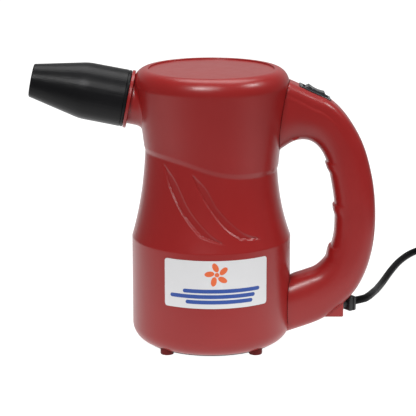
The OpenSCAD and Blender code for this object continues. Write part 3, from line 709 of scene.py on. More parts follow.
def make_spout():
    """The spout with its flared skirt, ring and spigot, all one moulding with the body."""
    steps = 120
    flare_steps = 8
    stations = []
    for k in range(steps):
        angle = 2 * pi * k / steps
        top = min(surface_distance(SPOUT_R, angle) + SKIRT, RING_Z[0] - 1)
        foot = min(surface_distance(SPOUT_R + SKIRT, angle), top - 1) - 0.35
        column = [(SPOUT_R + SKIRT, foot - 1.2)]
        for i in range(flare_steps + 1):
            t = i / flare_steps
            radius = SPOUT_R + SKIRT * (1 - t) ** 2
            column.append((radius, blend_value(foot, top, eased(t, 0.35, 2))))
        column += [(SPOUT_R, RING_Z[0] - 0.6), (SPOUT_R + 0.3, RING_Z[0]), (RING_R - 0.3, RING_Z[0])]
        column += [(RING_R, RING_Z[0] + 0.3), (RING_R, RING_Z[1] - 0.3), (RING_R - 0.3, RING_Z[1])]
        column += [(SPIGOT_R, RING_Z[1]), (SPIGOT_R, SPIGOT_END - 0.6), (SPIGOT_R - 0.6, SPIGOT_END)]
        stations.append([(r * cos(angle), r * sin(angle), s) for r, s in column])
    rows = len(stations[0])
    points = [stations[k][i] for i in range(rows) for k in range(steps)]
    faces = grid_faces(rows, steps)
    middle = len(points)
    points.append((0, 0, sum(column[0][2] for column in stations) / steps))
    faces += [(middle, (k + 1) % steps, k) for k in range(steps)]
    faces.append(tuple(range((rows - 1) * steps, rows * steps)))
    return mesh_object("spout", points, faces, ON_OUTLET)


def make_body():
    columns = [body_column(phi) for phi in skin_angles()]
    rows = len(columns[0])
    points = []
    for i in range(rows):
        for phi, column in zip(skin_angles(), columns):
            r, z = column[i]
            points.append((r * sin(radians(phi)), -r * cos(radians(phi)), z))
    body = mesh_object("body_moulding", points, grid_faces(rows, len(columns), row_loop=True), ON_AXIS)
    carve(body, make_spout(), operation="UNION")
    holes = [cylinder("hole", BORE_R, SPOUT_R, SPIGOT_END + 2, ON_OUTLET, steps=96)]
    holes += [cylinder("hole", FOOT_R + SEAT_GAP, -1, FOOT_SEAT_Z, upright(x, y)) for x, y in FOOT_PLACES]
    holes += [cylinder("hole", SCREW_R + 0.1, 5, 15, upright(x, y), steps=24) for x, y in BASE_SCREW_PLACES]
    return carve(body, join("holes", holes))


def make_top_cap():
    edge = arc((CAP_R - 0.25, CAP_Z - 0.5), 0.25, 0, 90, 5)
    crown = [(CAP_R * (1 - t), CAP_Z - 0.25 * (1 - t) ** 2) for t in (0.05, 0.2, 0.4, 0.6, 0.8)]
    skirt = [(CAP_SKIRT_R - 2, CAP_Z - CAP_T), (CAP_SKIRT_R - 2, CAP_Z - 2 * CAP_T)]
    skirt += [(CAP_SKIRT_R, CAP_Z - 2 * CAP_T), (CAP_SKIRT_R, CAP_Z - CAP_T), (CAP_R, CAP_Z - CAP_T)]
    return lathe("top_disc", [(0, CAP_Z - CAP_T), *skirt, *edge, *crown, (0, CAP_Z)], ON_AXIS, steps=192)


NOZZLE_R = 21.1
NOZZLE_REAR = 63
NOZZLE_END = 134.9
TIP_R = 12.2
TIP_BORE_R = 9.4
NOZZLE_BREAK = 95.4
BREAK_BLEND = 4
LIP_R = 1.2
COLLAR_L = 2.2


def nozzle_radius(s):
    """Outside radius of the nozzle: nearly straight, then a taper, blended over a soft break."""
    taper = (NOZZLE_R - 0.1 - TIP_R) / (NOZZLE_END - NOZZLE_BREAK)
    past = s - NOZZLE_BREAK
    if past < -BREAK_BLEND:
        soft = 0
    elif past < BREAK_BLEND:
        soft = (past + BREAK_BLEND) ** 2 / (4 * BREAK_BLEND)
    else:
        soft = past
    return NOZZLE_R - 0.1 * smoothstep(NOZZLE_REAR, NOZZLE_BREAK, s) - taper * soft


def make_nozzle():
    collar = NOZZLE_REAR + COLLAR_L
    tip = NOZZLE_END - LIP_R
    collar_edge = [(-0.8, NOZZLE_REAR), (-0.25, NOZZLE_REAR + 0.3), (0, NOZZLE_REAR + 0.9)]
    collar_groove = [(0, collar - 0.35), (-0.4, collar - 0.1), (-0.4, collar + 0.1)]
    outside = [(NOZZLE_R + x, s) for x, s in collar_edge + collar_groove]
    outside += [(nozzle_radius(s), s) for s in spaced(collar + 0.4, tip, 44)]
    outside += arc((nozzle_radius(tip) - LIP_R, tip), LIP_R, 0, 90, 6)
    inside = [(TIP_BORE_R + 0.6, NOZZLE_END), (TIP_BORE_R, NOZZLE_END - 0.8)]
    inside += [(BORE_R, SPIGOT_END + 2.5), (BORE_R, SPIGOT_END + 0.5)]
    inside += [(SPIGOT_R + 0.05, SPIGOT_END + 0.5), (SPIGOT_R + 0.05, NOZZLE_REAR)]
    return lathe("push_on_nozzle", outside + inside, ON_OUTLET, steps=160)


# ---- handle

# Outer and inner outline (x from the body axis, z) and half width, from the upper root to the lower one
HANDLE_OUTER = [
    (57.4, 199), (64, 196), (76, 190.2), (88, 184.5), (99, 174.3), (108, 160.5), (115, 144.5),
    (120.5, 122), (122.7, 99), (121.5, 76), (117, 56.5), (109, 40), (97, 27), (82, 16.2), (56, 6.8),
]
HANDLE_INNER = [
    (50, 147), (60, 153.5), (68, 155.2), (75, 153.2), (81, 147.5), (85.5, 138.5), (88.5, 127),
    (91.5, 110), (92.3, 97), (91.5, 81), (87, 66.5), (79, 57.3), (70, 53.5), (63, 51.2), (59.5, 49.5),
]
HANDLE_HALF_WIDTH = [17, 16.5, 16, 15.5, 15, 14.5, 14.3, 14.3, 14.3, 14.5, 15, 15.5, 16, 16.5, 17]
HANDLE_STEPS = 20
HANDLE_WALL = 2.4
ROOT_GAP = 0.3
PARTING = 0.05           # from the middle plane to each half
GRIP_POWER = 2.6
ROOT_POWER = 14
ROOT_BEVEL = 4.4
ROOT_FADE = (2.4, 5.2)   # outline points over which the root turns into the grip
LEDGE_DROP = 10          # from the handle's top to the ledge on its sides, at the upper root
LEDGE_HEIGHT = 1.0
FINGER_RIDGES = [(139, 128.5), (106.5, 96), (74, 63.5)]  # top and bottom
RIDGE_HEIGHT = 1.5
RIDGE_STEP = 1.1
RIDGE_TAPER = 7
RIDGE_SIDES = (0.5, 0.95)  # cosines from the grip's inner edge over which the ridges rise
PARTING_EDGE = 0.25
HANDLE_BOSSES = [(61, 160.5, 12), (91, 171, 12), (107, 98, 12), (68, 24, 12)]  # x, z, length
BOSS_R = 4
SCREW_R = 1.3
SCREW_HEAD_R = 2.6
SCREW_HEAD_Y = 9
SCREW_L = 19
BLOCK_LOW = (84, 19.5)
BLOCK_HIGH = (99.6, 34)
BLOCK_HALF = 9
BLOCK_WALL = 2


def section_radius(angle, reach, width, root):
    """Distance from the middle of the grip's section to its skin. root is 1 at the bevelled upper root."""
    out = cos(angle)
    side = sin(angle)
    power = GRIP_POWER * (ROOT_POWER / GRIP_POWER) ** root if out > 0 else GRIP_POWER
    total = (abs(out) / reach) ** power + (side / width) ** power
    if out > 0 and root > 0:
        bevel_distance = (reach + width - ROOT_BEVEL) / sqrt(2)
        total += root * ((out + side) / sqrt(2) / bevel_distance) ** power
    return total ** (-1 / power)


def finger_ridge(z):
    """Height of the ledges between the fingers, steep above and tapering below."""
    height = 0
    for top, bottom in FINGER_RIDGES:
        height += (1 - smoothstep(top - RIDGE_STEP, top, z)) * smoothstep(bottom, bottom + RIDGE_TAPER, z)
    return RIDGE_HEIGHT * height


def side_ledge(rise, reach):
    """Height of the ledge on the sides of the upper root; rise is the distance out from the middle."""
    edge = reach - LEDGE_DROP
    return LEDGE_HEIGHT * (1 - smoothstep(edge - 1, edge + 1, rise)) * smoothstep(-0.8 * reach, 0, rise)


def handle_angles():
    """Angles round half a section, with an extra one beside each edge of the parting line."""
    beside = 0.8
    steps = 72
    inner = [180 * k / steps for k in range(1, steps)]
    return [radians(a) for a in [0, beside, *inner, 180 - beside, 180]]


def handle_half(name, side):
    """Half of the hollow handle: side is 1 for the rear half and -1 for the front one."""
    outer = curve_points(HANDLE_OUTER, HANDLE_STEPS)
    inner = curve_points(HANDLE_INNER, HANDLE_STEPS)
    widths = curve_points(HANDLE_HALF_WIDTH, HANDLE_STEPS)
    angles = handle_angles()
    columns = 2 * len(angles)
    points = []
    for i, (o, n, width) in enumerate(zip(outer, inner, widths)):
        root = 1 - smoothstep(*ROOT_FADE, i / HANDLE_STEPS)
        middle = (o + n) / 2
        reach = (o - n).length / 2
        ahead = (o - n).normalized()
        at_root = i in (0, len(outer) - 1)
        for inset, order in ((0, angles), (HANDLE_WALL, reversed(angles))):
            for angle in order:
                r = section_radius(angle, reach - inset, width - inset, root if inset == 0 else 0)
                if inset == 0:
                    away = smoothstep(*RIDGE_SIDES, -cos(angle))
                    r += away * finger_ridge((middle + ahead * r * cos(angle)).y)
                    r += root * side_ledge(r * cos(angle), reach) * sin(angle) ** 2
                    if angle in (angles[0], angles[-1]):
                        r -= PARTING_EDGE
                flat = middle + ahead * (r * cos(angle))
                y = PARTING + r * sin(angle)
                x = flat.x
                if at_root:
                    x = sqrt((body_radius(90, flat.y) + ROOT_GAP) ** 2 - y * y)
                points.append((x, side * y, flat.y))
    faces = grid_faces(len(outer), columns)
    for start in (0, (len(outer) - 1) * columns):
        for k in range(len(angles) - 1):
            mirror = columns - 1 - k
            faces.append((start + k, start + k + 1, start + mirror - 1, start + mirror))
    return mesh_object(name, points, faces, ON_AXIS)


SWITCH_SLOPE = 25.5
SWITCH_PLACE = Vector((75.8, 0, 189.2))
ON_SWITCH = ON_AXIS @ Matrix.Translation(SWITCH_PLACE) @ turned(SWITCH_SLOPE, "Y")
BEZEL = (25.4, 15)
BEZEL_T = 1.9
SWITCH_SIZE = (22, 12.4)
SWITCH_DEPTH = 17
WINDOW = (20.6, 10.6)
ROCKER_L = 17.4
ROCKER_W = 9.6
ROCKER_R = 9.6
DISH_R = 22
DISH_X = 6.25            # half the dish's length
DISH_LOW = 3.4
ROCKER_PIVOT = -3
PIVOT_R = 1.2
ACROSS_PIVOT = ON_SWITCH @ shifted(0, 0, ROCKER_PIVOT) @ turned(90, "X")

GLAND_YAW = 35
CORD_EXIT = Vector((112.5, 4.5, 28))
ON_GLAND = Matrix.Translation(CORD_EXIT) @ turned(GLAND_YAW, "Z")
INTO_GLAND = ON_GLAND @ turned(-90, "Y")
GLAND = (6.6, 12, 11)    # length, width, height
SEAT_GAP = 0.2
NECK_R = 3.6
NECK_L = 4.4
FLANGE_R = 4.6
FLANGE_L = 2.2


def at_boss(x, z):
    """Z points to the rear, away from the parting plane."""
    return ON_AXIS @ shifted(x, 0, z) @ turned(-90, "X")


def switch_pocket():
    """Room for the bezel above the grip's top and for the case below it, as separate cutting shapes."""
    rooms = []
    for size, low, high in ((BEZEL, 0, 12), (SWITCH_SIZE, -8, 1)):
        x, y = (side / 2 + SEAT_GAP for side in size)
        rooms.append(box_piece("pocket", (-x, -y, low), (x, y, high), ON_SWITCH))
    return rooms


def cord_room():
    """Room inside the cord block and round the strain relief, as separate cutting shapes."""
    room = box_piece(
        "room", (BLOCK_LOW[0], BLOCK_WALL - BLOCK_HALF, BLOCK_LOW[1] + BLOCK_WALL),
        (BLOCK_HIGH[0] - BLOCK_WALL, BLOCK_HALF - BLOCK_WALL, BLOCK_HIGH[1] + 1), ON_AXIS,
    )
    length, width, height = GLAND
    y = width / 2 + SEAT_GAP
    z = height / 2 + SEAT_GAP
    seat = box_piece("room", (-length - SEAT_GAP, -y, -z), (length, y, z), ON_GLAND)
    start = length + NECK_L
    neck = cylinder("room", NECK_R + 0.1, 0, start + FLANGE_L, INTO_GLAND)
    flange = cylinder("room", FLANGE_R + SEAT_GAP, start - SEAT_GAP, start + FLANGE_L + 1, INTO_GLAND)
    return [room, seat, neck, flange]


def make_handle(side):
    """Half of the handle with its half of the cord block. The screws go in from the rear half (side 1)."""
    half = handle_half("grip_rear" if side > 0 else "grip_front", side)
    near, far = sorted((side * PARTING, side * BLOCK_HALF))
    (left, low), (right, high) = BLOCK_LOW, BLOCK_HIGH
    block = box_piece("block", (left, near, low), (right, far, high), ON_AXIS)
    bevel(block, 1.2, segments=4)
    carve(half, block, operation="UNION")
    hole_low = SCREW_HEAD_Y - SCREW_L - 1
    hole_high = SCREW_HEAD_Y + 1 if side > 0 else 1
    bosses = []
    holes = []
    for x, z, length in HANDLE_BOSSES:
        low, high = sorted((side * PARTING, side * length))
        bosses.append(cylinder("boss", BOSS_R, low, high, at_boss(x, z)))
        holes.append(cylinder("hole", SCREW_R, hole_low, hole_high, at_boss(x, z)))
    carve(half, join("bosses", bosses), operation="UNION")
    carve(half, join("holes", holes))
    if side > 0:
        sink_r = SCREW_HEAD_R + 0.3
        sink_end = SCREW_HEAD_Y + SCREW_L
        sinks = [cylinder("sink", sink_r, SCREW_HEAD_Y, sink_end, at_boss(x, z)) for x, z, _ in HANDLE_BOSSES]
        carve(half, join("sinks", sinks))
    return carve(half, *switch_pocket(), *cord_room())


# ---- switch and strain relief


def make_switch_body():
    bezel = slab("switch_case", rounded_rectangle(*BEZEL, 1.5), 0.1, BEZEL_T, ON_SWITCH)
    bevel(bezel, 0.5)
    case = slab("case", rounded_rectangle(*SWITCH_SIZE, 0.5), -SWITCH_DEPTH, 1, ON_SWITCH)
    carve(bezel, case, operation="UNION")
    window = slab("window", rounded_rectangle(*WINDOW, 0.8), 2 - SWITCH_DEPTH, BEZEL_T + 1, ON_SWITCH)
    carve(bezel, window)
    pin = cylinder("pin", PIVOT_R, -WINDOW[1] / 2 - 0.5, WINDOW[1] / 2 + 0.5, ACROSS_PIVOT, steps=32)
    return carve(bezel, pin, operation="UNION")


def make_rocker():
    """The dished rocker: its outline lies in the plane it tilts in."""
    half = ROCKER_L / 2
    outline = []
    for x in [DISH_X * (1 - k / 8) for k in range(17)]:
        outline.append((x, DISH_LOW + DISH_R - sqrt(DISH_R**2 - x * x)))
    for x in spaced(-DISH_X - 0.5, -half, 4) + [-half]:
        outline.append((x, ROCKER_PIVOT + sqrt(ROCKER_R**2 - x * x)))
    low = ROCKER_PIVOT - 4
    outline += [(-half, low), (half, low)]
    outline += [(-x, z) for x, z in reversed(outline[17:-2])]
    edgewise = ON_SWITCH @ turned(90, "X")
    rocker = slab("rocker_key", outline, -ROCKER_W / 2, ROCKER_W / 2, edgewise)
    bevel(rocker, 0.45, angle=30)
    return carve(rocker, cylinder("pin", PIVOT_R + 0.05, -ROCKER_W, ROCKER_W, ACROSS_PIVOT, steps=32))


def make_strain_relief():
    length, width, height = GLAND
    block = box_piece("cord_grip", (-length, -width / 2, -height / 2), (0, width / 2, height / 2), ON_GLAND)
    bevel(block, 1.0)
    lean = shifted(0, 0, height / 2) @ turned(28, "Y")
    slant = box_piece("slant", (-6, -width, -0.4), (12, width, 9), ON_GLAND @ lean)
    groove = box_piece("groove", (-3.6, -width, -height / 2 - 1), (-2.6, 0.7 - width / 2, height), ON_GLAND)
    carve(block, slant, groove)
    neck = cylinder("neck", NECK_R, length - 0.2, length + NECK_L + 0.1, INTO_GLAND)
    flange = cylinder("flange", FLANGE_R, length + NECK_L, length + NECK_L + FLANGE_L, INTO_GLAND)
    return carve(block, neck, flange, operation="UNION")


# ---- label, feet, screws, plug

LABEL_CENTRE = (4, 59.3)
LABEL_SIZE = (79.6, 35.8)
LABEL_T = 0.35
PRINT_T = 0.04


def outline_span(outline, z):
    """Lowest and highest first coordinate of a convex outline at a height."""
    crossings = []
    for a, b in zip(outline, outline[1:] + outline[:1]):
        if a[1] != b[1] and min(a[1], b[1]) <= z <= max(a[1], b[1]):
            crossings.append(blend_value(a[0], b[0], (z - a[1]) / (b[1] - a[1])))
    return min(crossings), max(crossings)


def wrapped(name, outline, inner, outer, columns=24, rows=14):
    """A thin convex patch laid round the body. Its outline is (distance round the body, height)."""
    low = min(z for _, z in outline) + 1e-4
    high = max(z for _, z in outline) - 1e-4
    skins = []
    for radius in (inner, outer):
        for i in range(rows + 1):
            z = blend_value(low, high, (1 - cos(pi * i / rows)) / 2)
            left, right = outline_span(outline, z)
            for k in range(columns + 1):
                angle = blend_value(left, right, k / columns) / BASE_R
                skins.append((radius * sin(angle), -radius * cos(angle), z))
    across = columns + 1
    count = (rows + 1) * across
    faces = grid_faces(rows + 1, across, column_loop=False)
    faces += [tuple(count + n for n in face) for face in grid_faces(rows + 1, across, column_loop=False)]
    edge = [*range(across), *(i * across + columns for i in range(1, rows + 1))]
    edge += [rows * across + k for k in range(columns - 1, -1, -1)]
    edge += [i * across for i in range(rows - 1, 0, -1)]
    for a, b in zip(edge, edge[1:] + edge[:1]):
        faces.append((a, b, b + count, a + count))
    return mesh_object(name, skins, faces, ON_AXIS)


def moved(outline, x, z, turn=0.0):
    """An outline turned and moved."""
    c, s = cos(radians(turn)), sin(radians(turn))
    return [(x + px * c - pz * s, z + px * s + pz * c) for px, pz in outline]


def make_label():
    outline = moved(rounded_rectangle(*LABEL_SIZE, 2), *LABEL_CENTRE)
    return wrapped("name_plate", outline, BASE_R + 0.02, BASE_R + 0.02 + LABEL_T, columns=60, rows=20)


def ellipse(x, z, half_x, half_z, turn=0.0, steps=24):
    outline = [(half_x * c, half_z * s) for c, s in arc((0, 0), 1, 0, 360 - 360 / steps, steps - 1)]
    return moved(outline, x, z, turn)


def printed(name, outlines):
    """Printed shapes that lie on the label."""
    low = BASE_R + 0.02 + LABEL_T - PRINT_T / 4
    return join(name, [wrapped(name, outline, low, low + PRINT_T) for outline in outlines])


def make_fan_mark():
    """A five-bladed fan."""
    x, z = LABEL_CENTRE[0], LABEL_CENTRE[1] + 7.6
    blades = [moved(ellipse(5.4, 1.1, 3.6, 2.1, 26), x, z, 18 + 72 * k) for k in range(5)]
    return printed("fan_mark", blades + [ellipse(x, z, 1.7, 1.7)])


def make_air_bars():
    """Three rounded bars, like streams of air."""
    bars = []
    for row, (shift, length) in enumerate([(4, 58), (-3, 64), (2, 50)]):
        outline = rounded_rectangle(length, 2.9, 1.44)
        bars.append(moved(outline, LABEL_CENTRE[0] + shift, LABEL_CENTRE[1] - 4.8 - 4.1 * row))
    return printed("air_bars", bars)


def make_feet():
    tread = [(0, 0), (FOOT_R - 0.8, 0), (FOOT_R - 0.2, 0.25), (FOOT_R, 0.9), (FOOT_R, FOOT_TOP)]
    profile = [*tread, (STEM_R, FOOT_TOP), (STEM_R, STEM_TOP), (0, STEM_TOP)]
    return join("rubber_feet", [lathe("foot", profile, upright(x, y), steps=48) for x, y in FOOT_PLACES])


def screw(face, looks, head_t, length, place):
    """A cross-recessed pan-head screw. Its outer face is at height face and looks up (1) or down (-1)."""
    shank_r = SCREW_R - 0.02
    head_r = SCREW_HEAD_R
    head = [(0, 0), (head_r - 0.7, 0), (head_r - 0.2, 0.2), (head_r, 0.6), (head_r, head_t)]
    depths = [*head, (shank_r, head_t), (shank_r, length), (0, length)]
    made = lathe("screw", [(r, face - looks * d) for r, d in depths], place, steps=40)
    low, high = sorted((face - looks * 0.9, face + looks))
    for size in ((1.5, 0.3), (0.3, 1.5)):
        carve(made, box_piece("recess", (-size[0], -size[1], low), (size[0], size[1], high), place))
    return made


def make_base_screws():
    return join("base_fixings", [screw(BASE_Z, -1, 1.3, 10.2, upright(x, y)) for x, y in BASE_SCREW_PLACES])


def make_handle_screws():
    head_t = 1.8
    face = SCREW_HEAD_Y + 0.02 + head_t
    screws = [screw(face, 1, head_t, SCREW_L + head_t, at_boss(x, z)) for x, z, _ in HANDLE_BOSSES]
    return join("handle_fixings", screws)


FOAM_R = 39.5
FOAM_Z = (6.45, 20.3)
FOAM_EDGE_R = 1.5


def make_foam():
    """The intake filter: a disc of foam with soft edges and a slightly uneven rim."""
    low, high = FOAM_Z
    edge = arc((FOAM_R - FOAM_EDGE_R, low + FOAM_EDGE_R), FOAM_EDGE_R, -80, 0, 4)
    edge += arc((FOAM_R - FOAM_EDGE_R, high - FOAM_EDGE_R), FOAM_EDGE_R, 0, 80, 4)
    rings = [FOAM_R * t for t in (0.2, 0.4, 0.6, 0.8)]
    profile = [(0, low), *[(r, low) for r in rings], *edge, *[(r, high) for r in reversed(rings)], (0, high)]

    def uneven(r, z, angle):
        return r * (1 - 0.004 * (1 + sin(5 * angle + z)) - 0.003 * (1 + sin(11 * angle - 2 * z)))

    foam_disc = lathe("intake_foam", profile, ON_AXIS, steps=96, shape=uneven)
    return foam_disc


# ---- plug and strap

PLUG_PLACE = Vector((300, 204, 8))
ON_PLUG = Matrix.Translation(PLUG_PLACE) @ turned(90, "X")
PLUG_SIZE = (26, 16)
PLUG_CORNER_R = 5.2
PLUG_CONE_L = 12
PLUG_GROOVES = (19, 23.5, 28)
PLUG_FACE = 44
SLEEVE_RIBS = 5
RIB_PITCH = 2.1
BLADE_L = 18
BLADE_W = 6.3
BLADE_T = 1.5
BLADE_X = 6.35
BLADE_HOLE_R = 1.6


def make_plug():
    """The moulded plug: a ribbed sleeve round the cord, then a body with finger grooves."""
    sections = [(rounded_rectangle(8, 8, 3.99), 0)]
    for k in range(SLEEVE_RIBS):
        start = 1.2 + RIB_PITCH * k
        wide = 9 + 0.6 * k
        narrow = wide - 1.4
        for size, s in ((wide, start), (wide, start + 1), (narrow, start + 1.25), (narrow, start + 1.85)):
            sections.append((rounded_rectangle(size, size, size / 2 - 0.01), s))
    width, thick = PLUG_SIZE
    body = [
        (width * 0.7, thick * 0.82, 5.5, PLUG_CONE_L), (width - 2, thick - 0.8, 5.5, PLUG_CONE_L + 2.2),
        (width, thick, PLUG_CORNER_R, PLUG_CONE_L + 5),
    ]
    for s in PLUG_GROOVES:
        for depth, shift in ((0, 0), (0.7, 0.6), (0.7, 1.4), (0, 2)):
            body.append((width - 2 * depth, thick - 2 * depth, PLUG_CORNER_R, s + shift))
    body += [
        (width, thick, PLUG_CORNER_R, PLUG_FACE - 1.2), (width - 0.7, thick - 0.7, 5, PLUG_FACE - 0.3),
        (width - 2, thick - 2, 4.6, PLUG_FACE),
    ]
    sections += [(rounded_rectangle(across, through, corner), s) for across, through, corner, s in body]
    return loft("moulded_plug", sections, ON_PLUG)


def make_blades():
    """Two flat blades with the usual holes near their ends."""
    blades = []
    sideways = Matrix(((0, 0, 1), (1, 0, 0), (0, 1, 0))).to_4x4()
    for x in (-BLADE_X, BLADE_X):
        place = ON_PLUG @ shifted(x, 0, PLUG_FACE + BLADE_L / 2) @ sideways
        blade = slab("blade", rounded_rectangle(BLADE_W, BLADE_L, 1.4), -BLADE_T / 2, BLADE_T / 2, place)
        bevel(blade, 0.2, segments=2)
        hole = cylinder("hole", BLADE_HOLE_R, -2, 2, place @ shifted(0, BLADE_L / 2 - 4, 0), steps=32)
        blades.append(carve(blade, hole))
    return join("plug_contacts", blades)


STRAP_T = 0.8
STRAP_HALF = 4.9
BUNDLE_R = (26, 44)      # inner and outer radius of the coiled cord
BUNDLE_H = 24


def make_strap():
    """The strap, a closed band round one side of the coil."""
    centre = COIL_CENTRE / MM
    low = BUNDLE_R[0] - 0.1
    high = BUNDLE_R[1] + 0.1
    width = high - low
    height = BUNDLE_H + STRAP_T + 0.2
    across = Matrix(((1, 0, 0), (0, 0, 1), (0, 1, 0))).to_4x4()
    spot = shifted(centre.x, centre.y, 0) @ turned(-90, "Z")
    place = spot @ shifted((low + high) / 2, 0, STRAP_T + height / 2) @ across
    outer = rounded_rectangle(width + 2 * STRAP_T, height + 2 * STRAP_T - 0.9, 3)
    inner = rounded_rectangle(width, height - 0.9, 2.4)
    strap = slab("coil_strap", outer, -STRAP_HALF, STRAP_HALF, place)
    return carve(strap, slab("inside", inner, -2 * STRAP_HALF, 2 * STRAP_HALF, place))


# ---- mains cord

# Where the cord runs between the strain relief, the coil and the plug, as in the CAD but in metres
CORD_ROUTE = [
    (0.1125, 0.0045, 0.028), (0.116, 0.007, 0.028), (0.1205, 0.0115, 0.0276), (0.124, 0.017, 0.0268),
    (0.1265, 0.024, 0.0258), (0.1295, 0.036, 0.0236), (0.1325, 0.050, 0.021), (0.1355, 0.067, 0.0172),
    (0.139, 0.087, 0.0128), (0.1425, 0.107, 0.0087), (0.1465, 0.127, 0.0054), (0.151, 0.146, 0.0035),
    (0.1565, 0.166, 0.003), (0.163, 0.187, 0.003), (0.170, 0.207, 0.003), (0.178, 0.225, 0.003),
    (0.187, 0.240, 0.003), (0.198, 0.251, 0.003), (0.212, 0.257, 0.003), (0.226, 0.259, 0.0032),
]
TAIL_ROUTE = [
    (0.252, 0.258, 0.0216), (0.264, 0.2545, 0.0206), (0.275, 0.248, 0.0184), (0.2845, 0.2395, 0.015),
    (0.292, 0.229, 0.0115), (0.297, 0.217, 0.009), (0.300, 0.204, 0.008),
]
CORD_R = 0.003
COIL_CENTRE = Vector((0.240, 0.218, 0.0))
COIL_OUTER_R = 0.041     # middle of the cord in the outermost turn
COIL_FLOOR = 0.0038      # middle of the cord in the lowest turn
# Step of each turn: inwards, outwards or up by one cord diameter
COIL_STEPS = ["in", "in", "up", "out", "out", "up", "in", "in", "up", "out", "out", "stay"]
TURN_POINTS = 40
STEP_SPAN = 0.22


def coil_points():
    """The coiled stretch: turns that lie beside and on each other, clockwise seen from above."""
    points = []
    radius = COIL_OUTER_R
    height = COIL_FLOOR
    for step in COIL_STEPS:
        next_radius = radius + {"in": -1, "out": 1}.get(step, 0) * 2 * CORD_R
        next_height = height + (2 * CORD_R if step == "up" else 0)
        for k in range(TURN_POINTS):
            turn = k / TURN_POINTS
            t = smoothstep(1 - STEP_SPAN, 1, turn)
            angle = radians(90 - 360 * turn)
            r = blend_value(radius, next_radius, t)
            flat = Vector((cos(angle), sin(angle), 0)) * r
            points.append(COIL_CENTRE + flat + Vector((0, 0, blend_value(height, next_height, t))))
        radius = next_radius
        height = next_height
    points.append(COIL_CENTRE + Vector((0, radius, height)))
    return points


def path_length(points):
    return sum((b - a).length for a, b in zip(points, points[1:]))


def make_cord():
    """The whole lead as one mesh tube: loose stretch, coil and tail."""
    coil = coil_points()
    loose = curve_points([*CORD_ROUTE, coil[0], coil[1]], 4)[:-4]
    tail = curve_points([coil[-2], coil[-1], *TAIL_ROUTE], 4)[4:]
    path = loose[:-1] + coil[:-1] + tail
    sides = 20
    points = tube_points(path, CORD_R, sides)
    faces = grid_faces(len(path), sides)
    faces.append(tuple(range(sides)))
    faces.append(tuple(range((len(path) - 1) * sides, len(path) * sides)))
    cord = mesh_object("mains_cord", [p / MM for p in points], faces)
    nodes = ("cord_tube", "cord_coil", "cord_tail")
    settle(cord, MATERIALS["cord_rubber"], "housing", "cord_rubber", *nodes, sharp=60)
    return cord, path


HOUSED = [
    (make_body(), "housing_red", "body_shell"),
    (make_top_cap(), "housing_red", "top_cap"),
    (make_handle(-1), "housing_red", "handle_front"),
    (make_handle(1), "housing_red", "handle_rear"),
    (make_feet(), "foot_red", "feet"),
    (make_base_screws(), "bright_steel", "base_screws"),
    (make_handle_screws(), "bright_steel", "handle_screws"),
    (make_switch_body(), "switch_black", "switch_body"),
    (make_strain_relief(), "gland_black", "strain_relief"),
    (make_foam(), "foam_grey", "filter_foam"),
    (make_label(), "label_white", "label_plate"),
]
for piece, finish, node in HOUSED:
    settle(piece, MATERIALS[finish], "housing", finish, node)
settle(make_fan_mark(), MATERIALS["print_orange"], "housing", "label_white")
settle(make_air_bars(), MATERIALS["print_blue"], "housing", "label_white")
settle(make_nozzle(), MATERIALS["nozzle_black"], "nozzle", "nozzle_black", "nozzle")
settle(make_rocker(), MATERIALS["switch_black"], "rocker", "switch_black", "switch_rocker")

make_camera()
cord, cord_path = make_cord()
plug = settle(make_plug(), MATERIALS["plug_rubber"], "housing", "plug_rubber", "plug_body")
blades = settle(make_blades(), MATERIALS["blade_brass"], "housing", "blade_brass", "plug_blades")
strap = settle(make_strap(), MATERIALS["tie_grey"], "housing", "tie_grey", "cord_tie")
round(path_length(cord_path), 3)
[tuple(p) for p in cord_path]

# ---- materials of the CAD nodes that stay

for entry in frame["record"]["subparts"]:
    node = frame["nodes"][entry["node"]]
    node.data.materials.clear()
    node.data.materials.append(MATERIALS[entry["material_slot"]])

# ---- floor and light

TABLE_HALF = 420
TABLE_FRONT = -1000
TABLE_BACK = 2400
LIGHT_TARGET = (0, 0, 0.12)
# Name, place, size and power
SOFT_BOXES = [
    ("left_box", (-0.38, -1.13, 1.26), (0.46, 0.26), 9),
    ("right_box", (1.16, -0.26, 1.26), (0.44, 0.32), 9),
    ("front_box", (-0.3, -1.9, 2.1), (1.4, 1.0), 27),
    ("top_box", (0.1, 0.35, 1.5), (1.2, 0.8), 13),
]


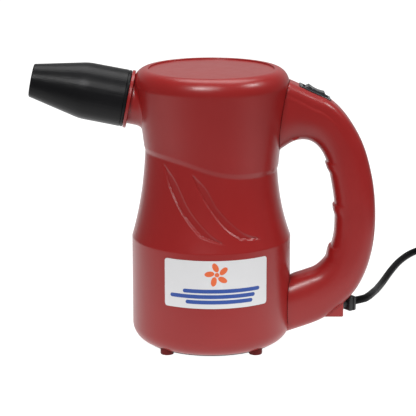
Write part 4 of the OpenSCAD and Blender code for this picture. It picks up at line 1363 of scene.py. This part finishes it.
def make_light(name, place, size, power):
    """A soft box that looks at the middle of the object."""
    light = bpy.data.lights.new(name, "AREA")
    light.shape = "RECTANGLE"
    light.size, light.size_y = size
    light.energy = power
    holder = add_object(name, light)
    holder.location = place
    aim = Vector(LIGHT_TARGET) - Vector(place)
    holder.rotation_euler = aim.to_track_quat("-Z", "Y").to_euler()
    return holder


def make_world():
    """Bright behind the object, dim at the sides and in front, so that the body keeps its dark edges.

    Seen directly, it is a pale backdrop."""
    world = bpy.data.worlds.new("studio")
    bpy.context.scene.world = world
    world.use_nodes = True
    tree = world.node_tree
    background = tree.nodes["Background"]
    background.inputs["Color"].default_value = (1, 1, 1, 1)
    place = add_node(tree, "ShaderNodeTexCoord")
    split = add_node(tree, "ShaderNodeSeparateXYZ")
    reach = {"From Min": 0.55, "From Max": 0.95, "To Min": 0.15, "To Max": 0.5}
    ramp = add_node(tree, "ShaderNodeMapRange", reach)
    seen = add_node(tree, "ShaderNodeLightPath")
    pale = add_node(tree, "ShaderNodeMix", {"B": 0.85})
    links = [
        (place.outputs["Generated"], split.inputs["Vector"]),
        (split.outputs["Y"], ramp.inputs["Value"]),
        (seen.outputs["Is Camera Ray"], pale.inputs["Factor"]),
        (ramp.outputs["Result"], pale.inputs["A"]),
        (pale.outputs["Result"], background.inputs["Strength"]),
    ]
    for output, target in links:
        tree.links.new(output, target)


def make_stage():
    """A table that glows white from just before the object to the back, under four soft boxes."""
    floor = box_piece("floor", (-TABLE_HALF, TABLE_FRONT, -10), (TABLE_HALF, TABLE_BACK, -0.05))
    ground = Shader("floor_white", 0.9)
    ground.surface.inputs["Base Color"].default_value = (0.2, 0.2, 0.2, 1)
    ground.surface.inputs["Emission Color"].default_value = (1, 1, 1, 1)
    split = ground.node("ShaderNodeSeparateXYZ")
    ground.link(ground.place, split.inputs["Vector"])
    glow = ground.spread(split.outputs["Y"], 0, 1.0, -0.36, -0.13)
    ground.link(glow, ground.surface.inputs["Emission Strength"])
    floor.data.materials.append(ground.material)
    lights = [make_light(*soft_box) for soft_box in SOFT_BOXES]
    make_world()
    bpy.context.scene.view_settings.view_transform = "Standard"


make_stage()
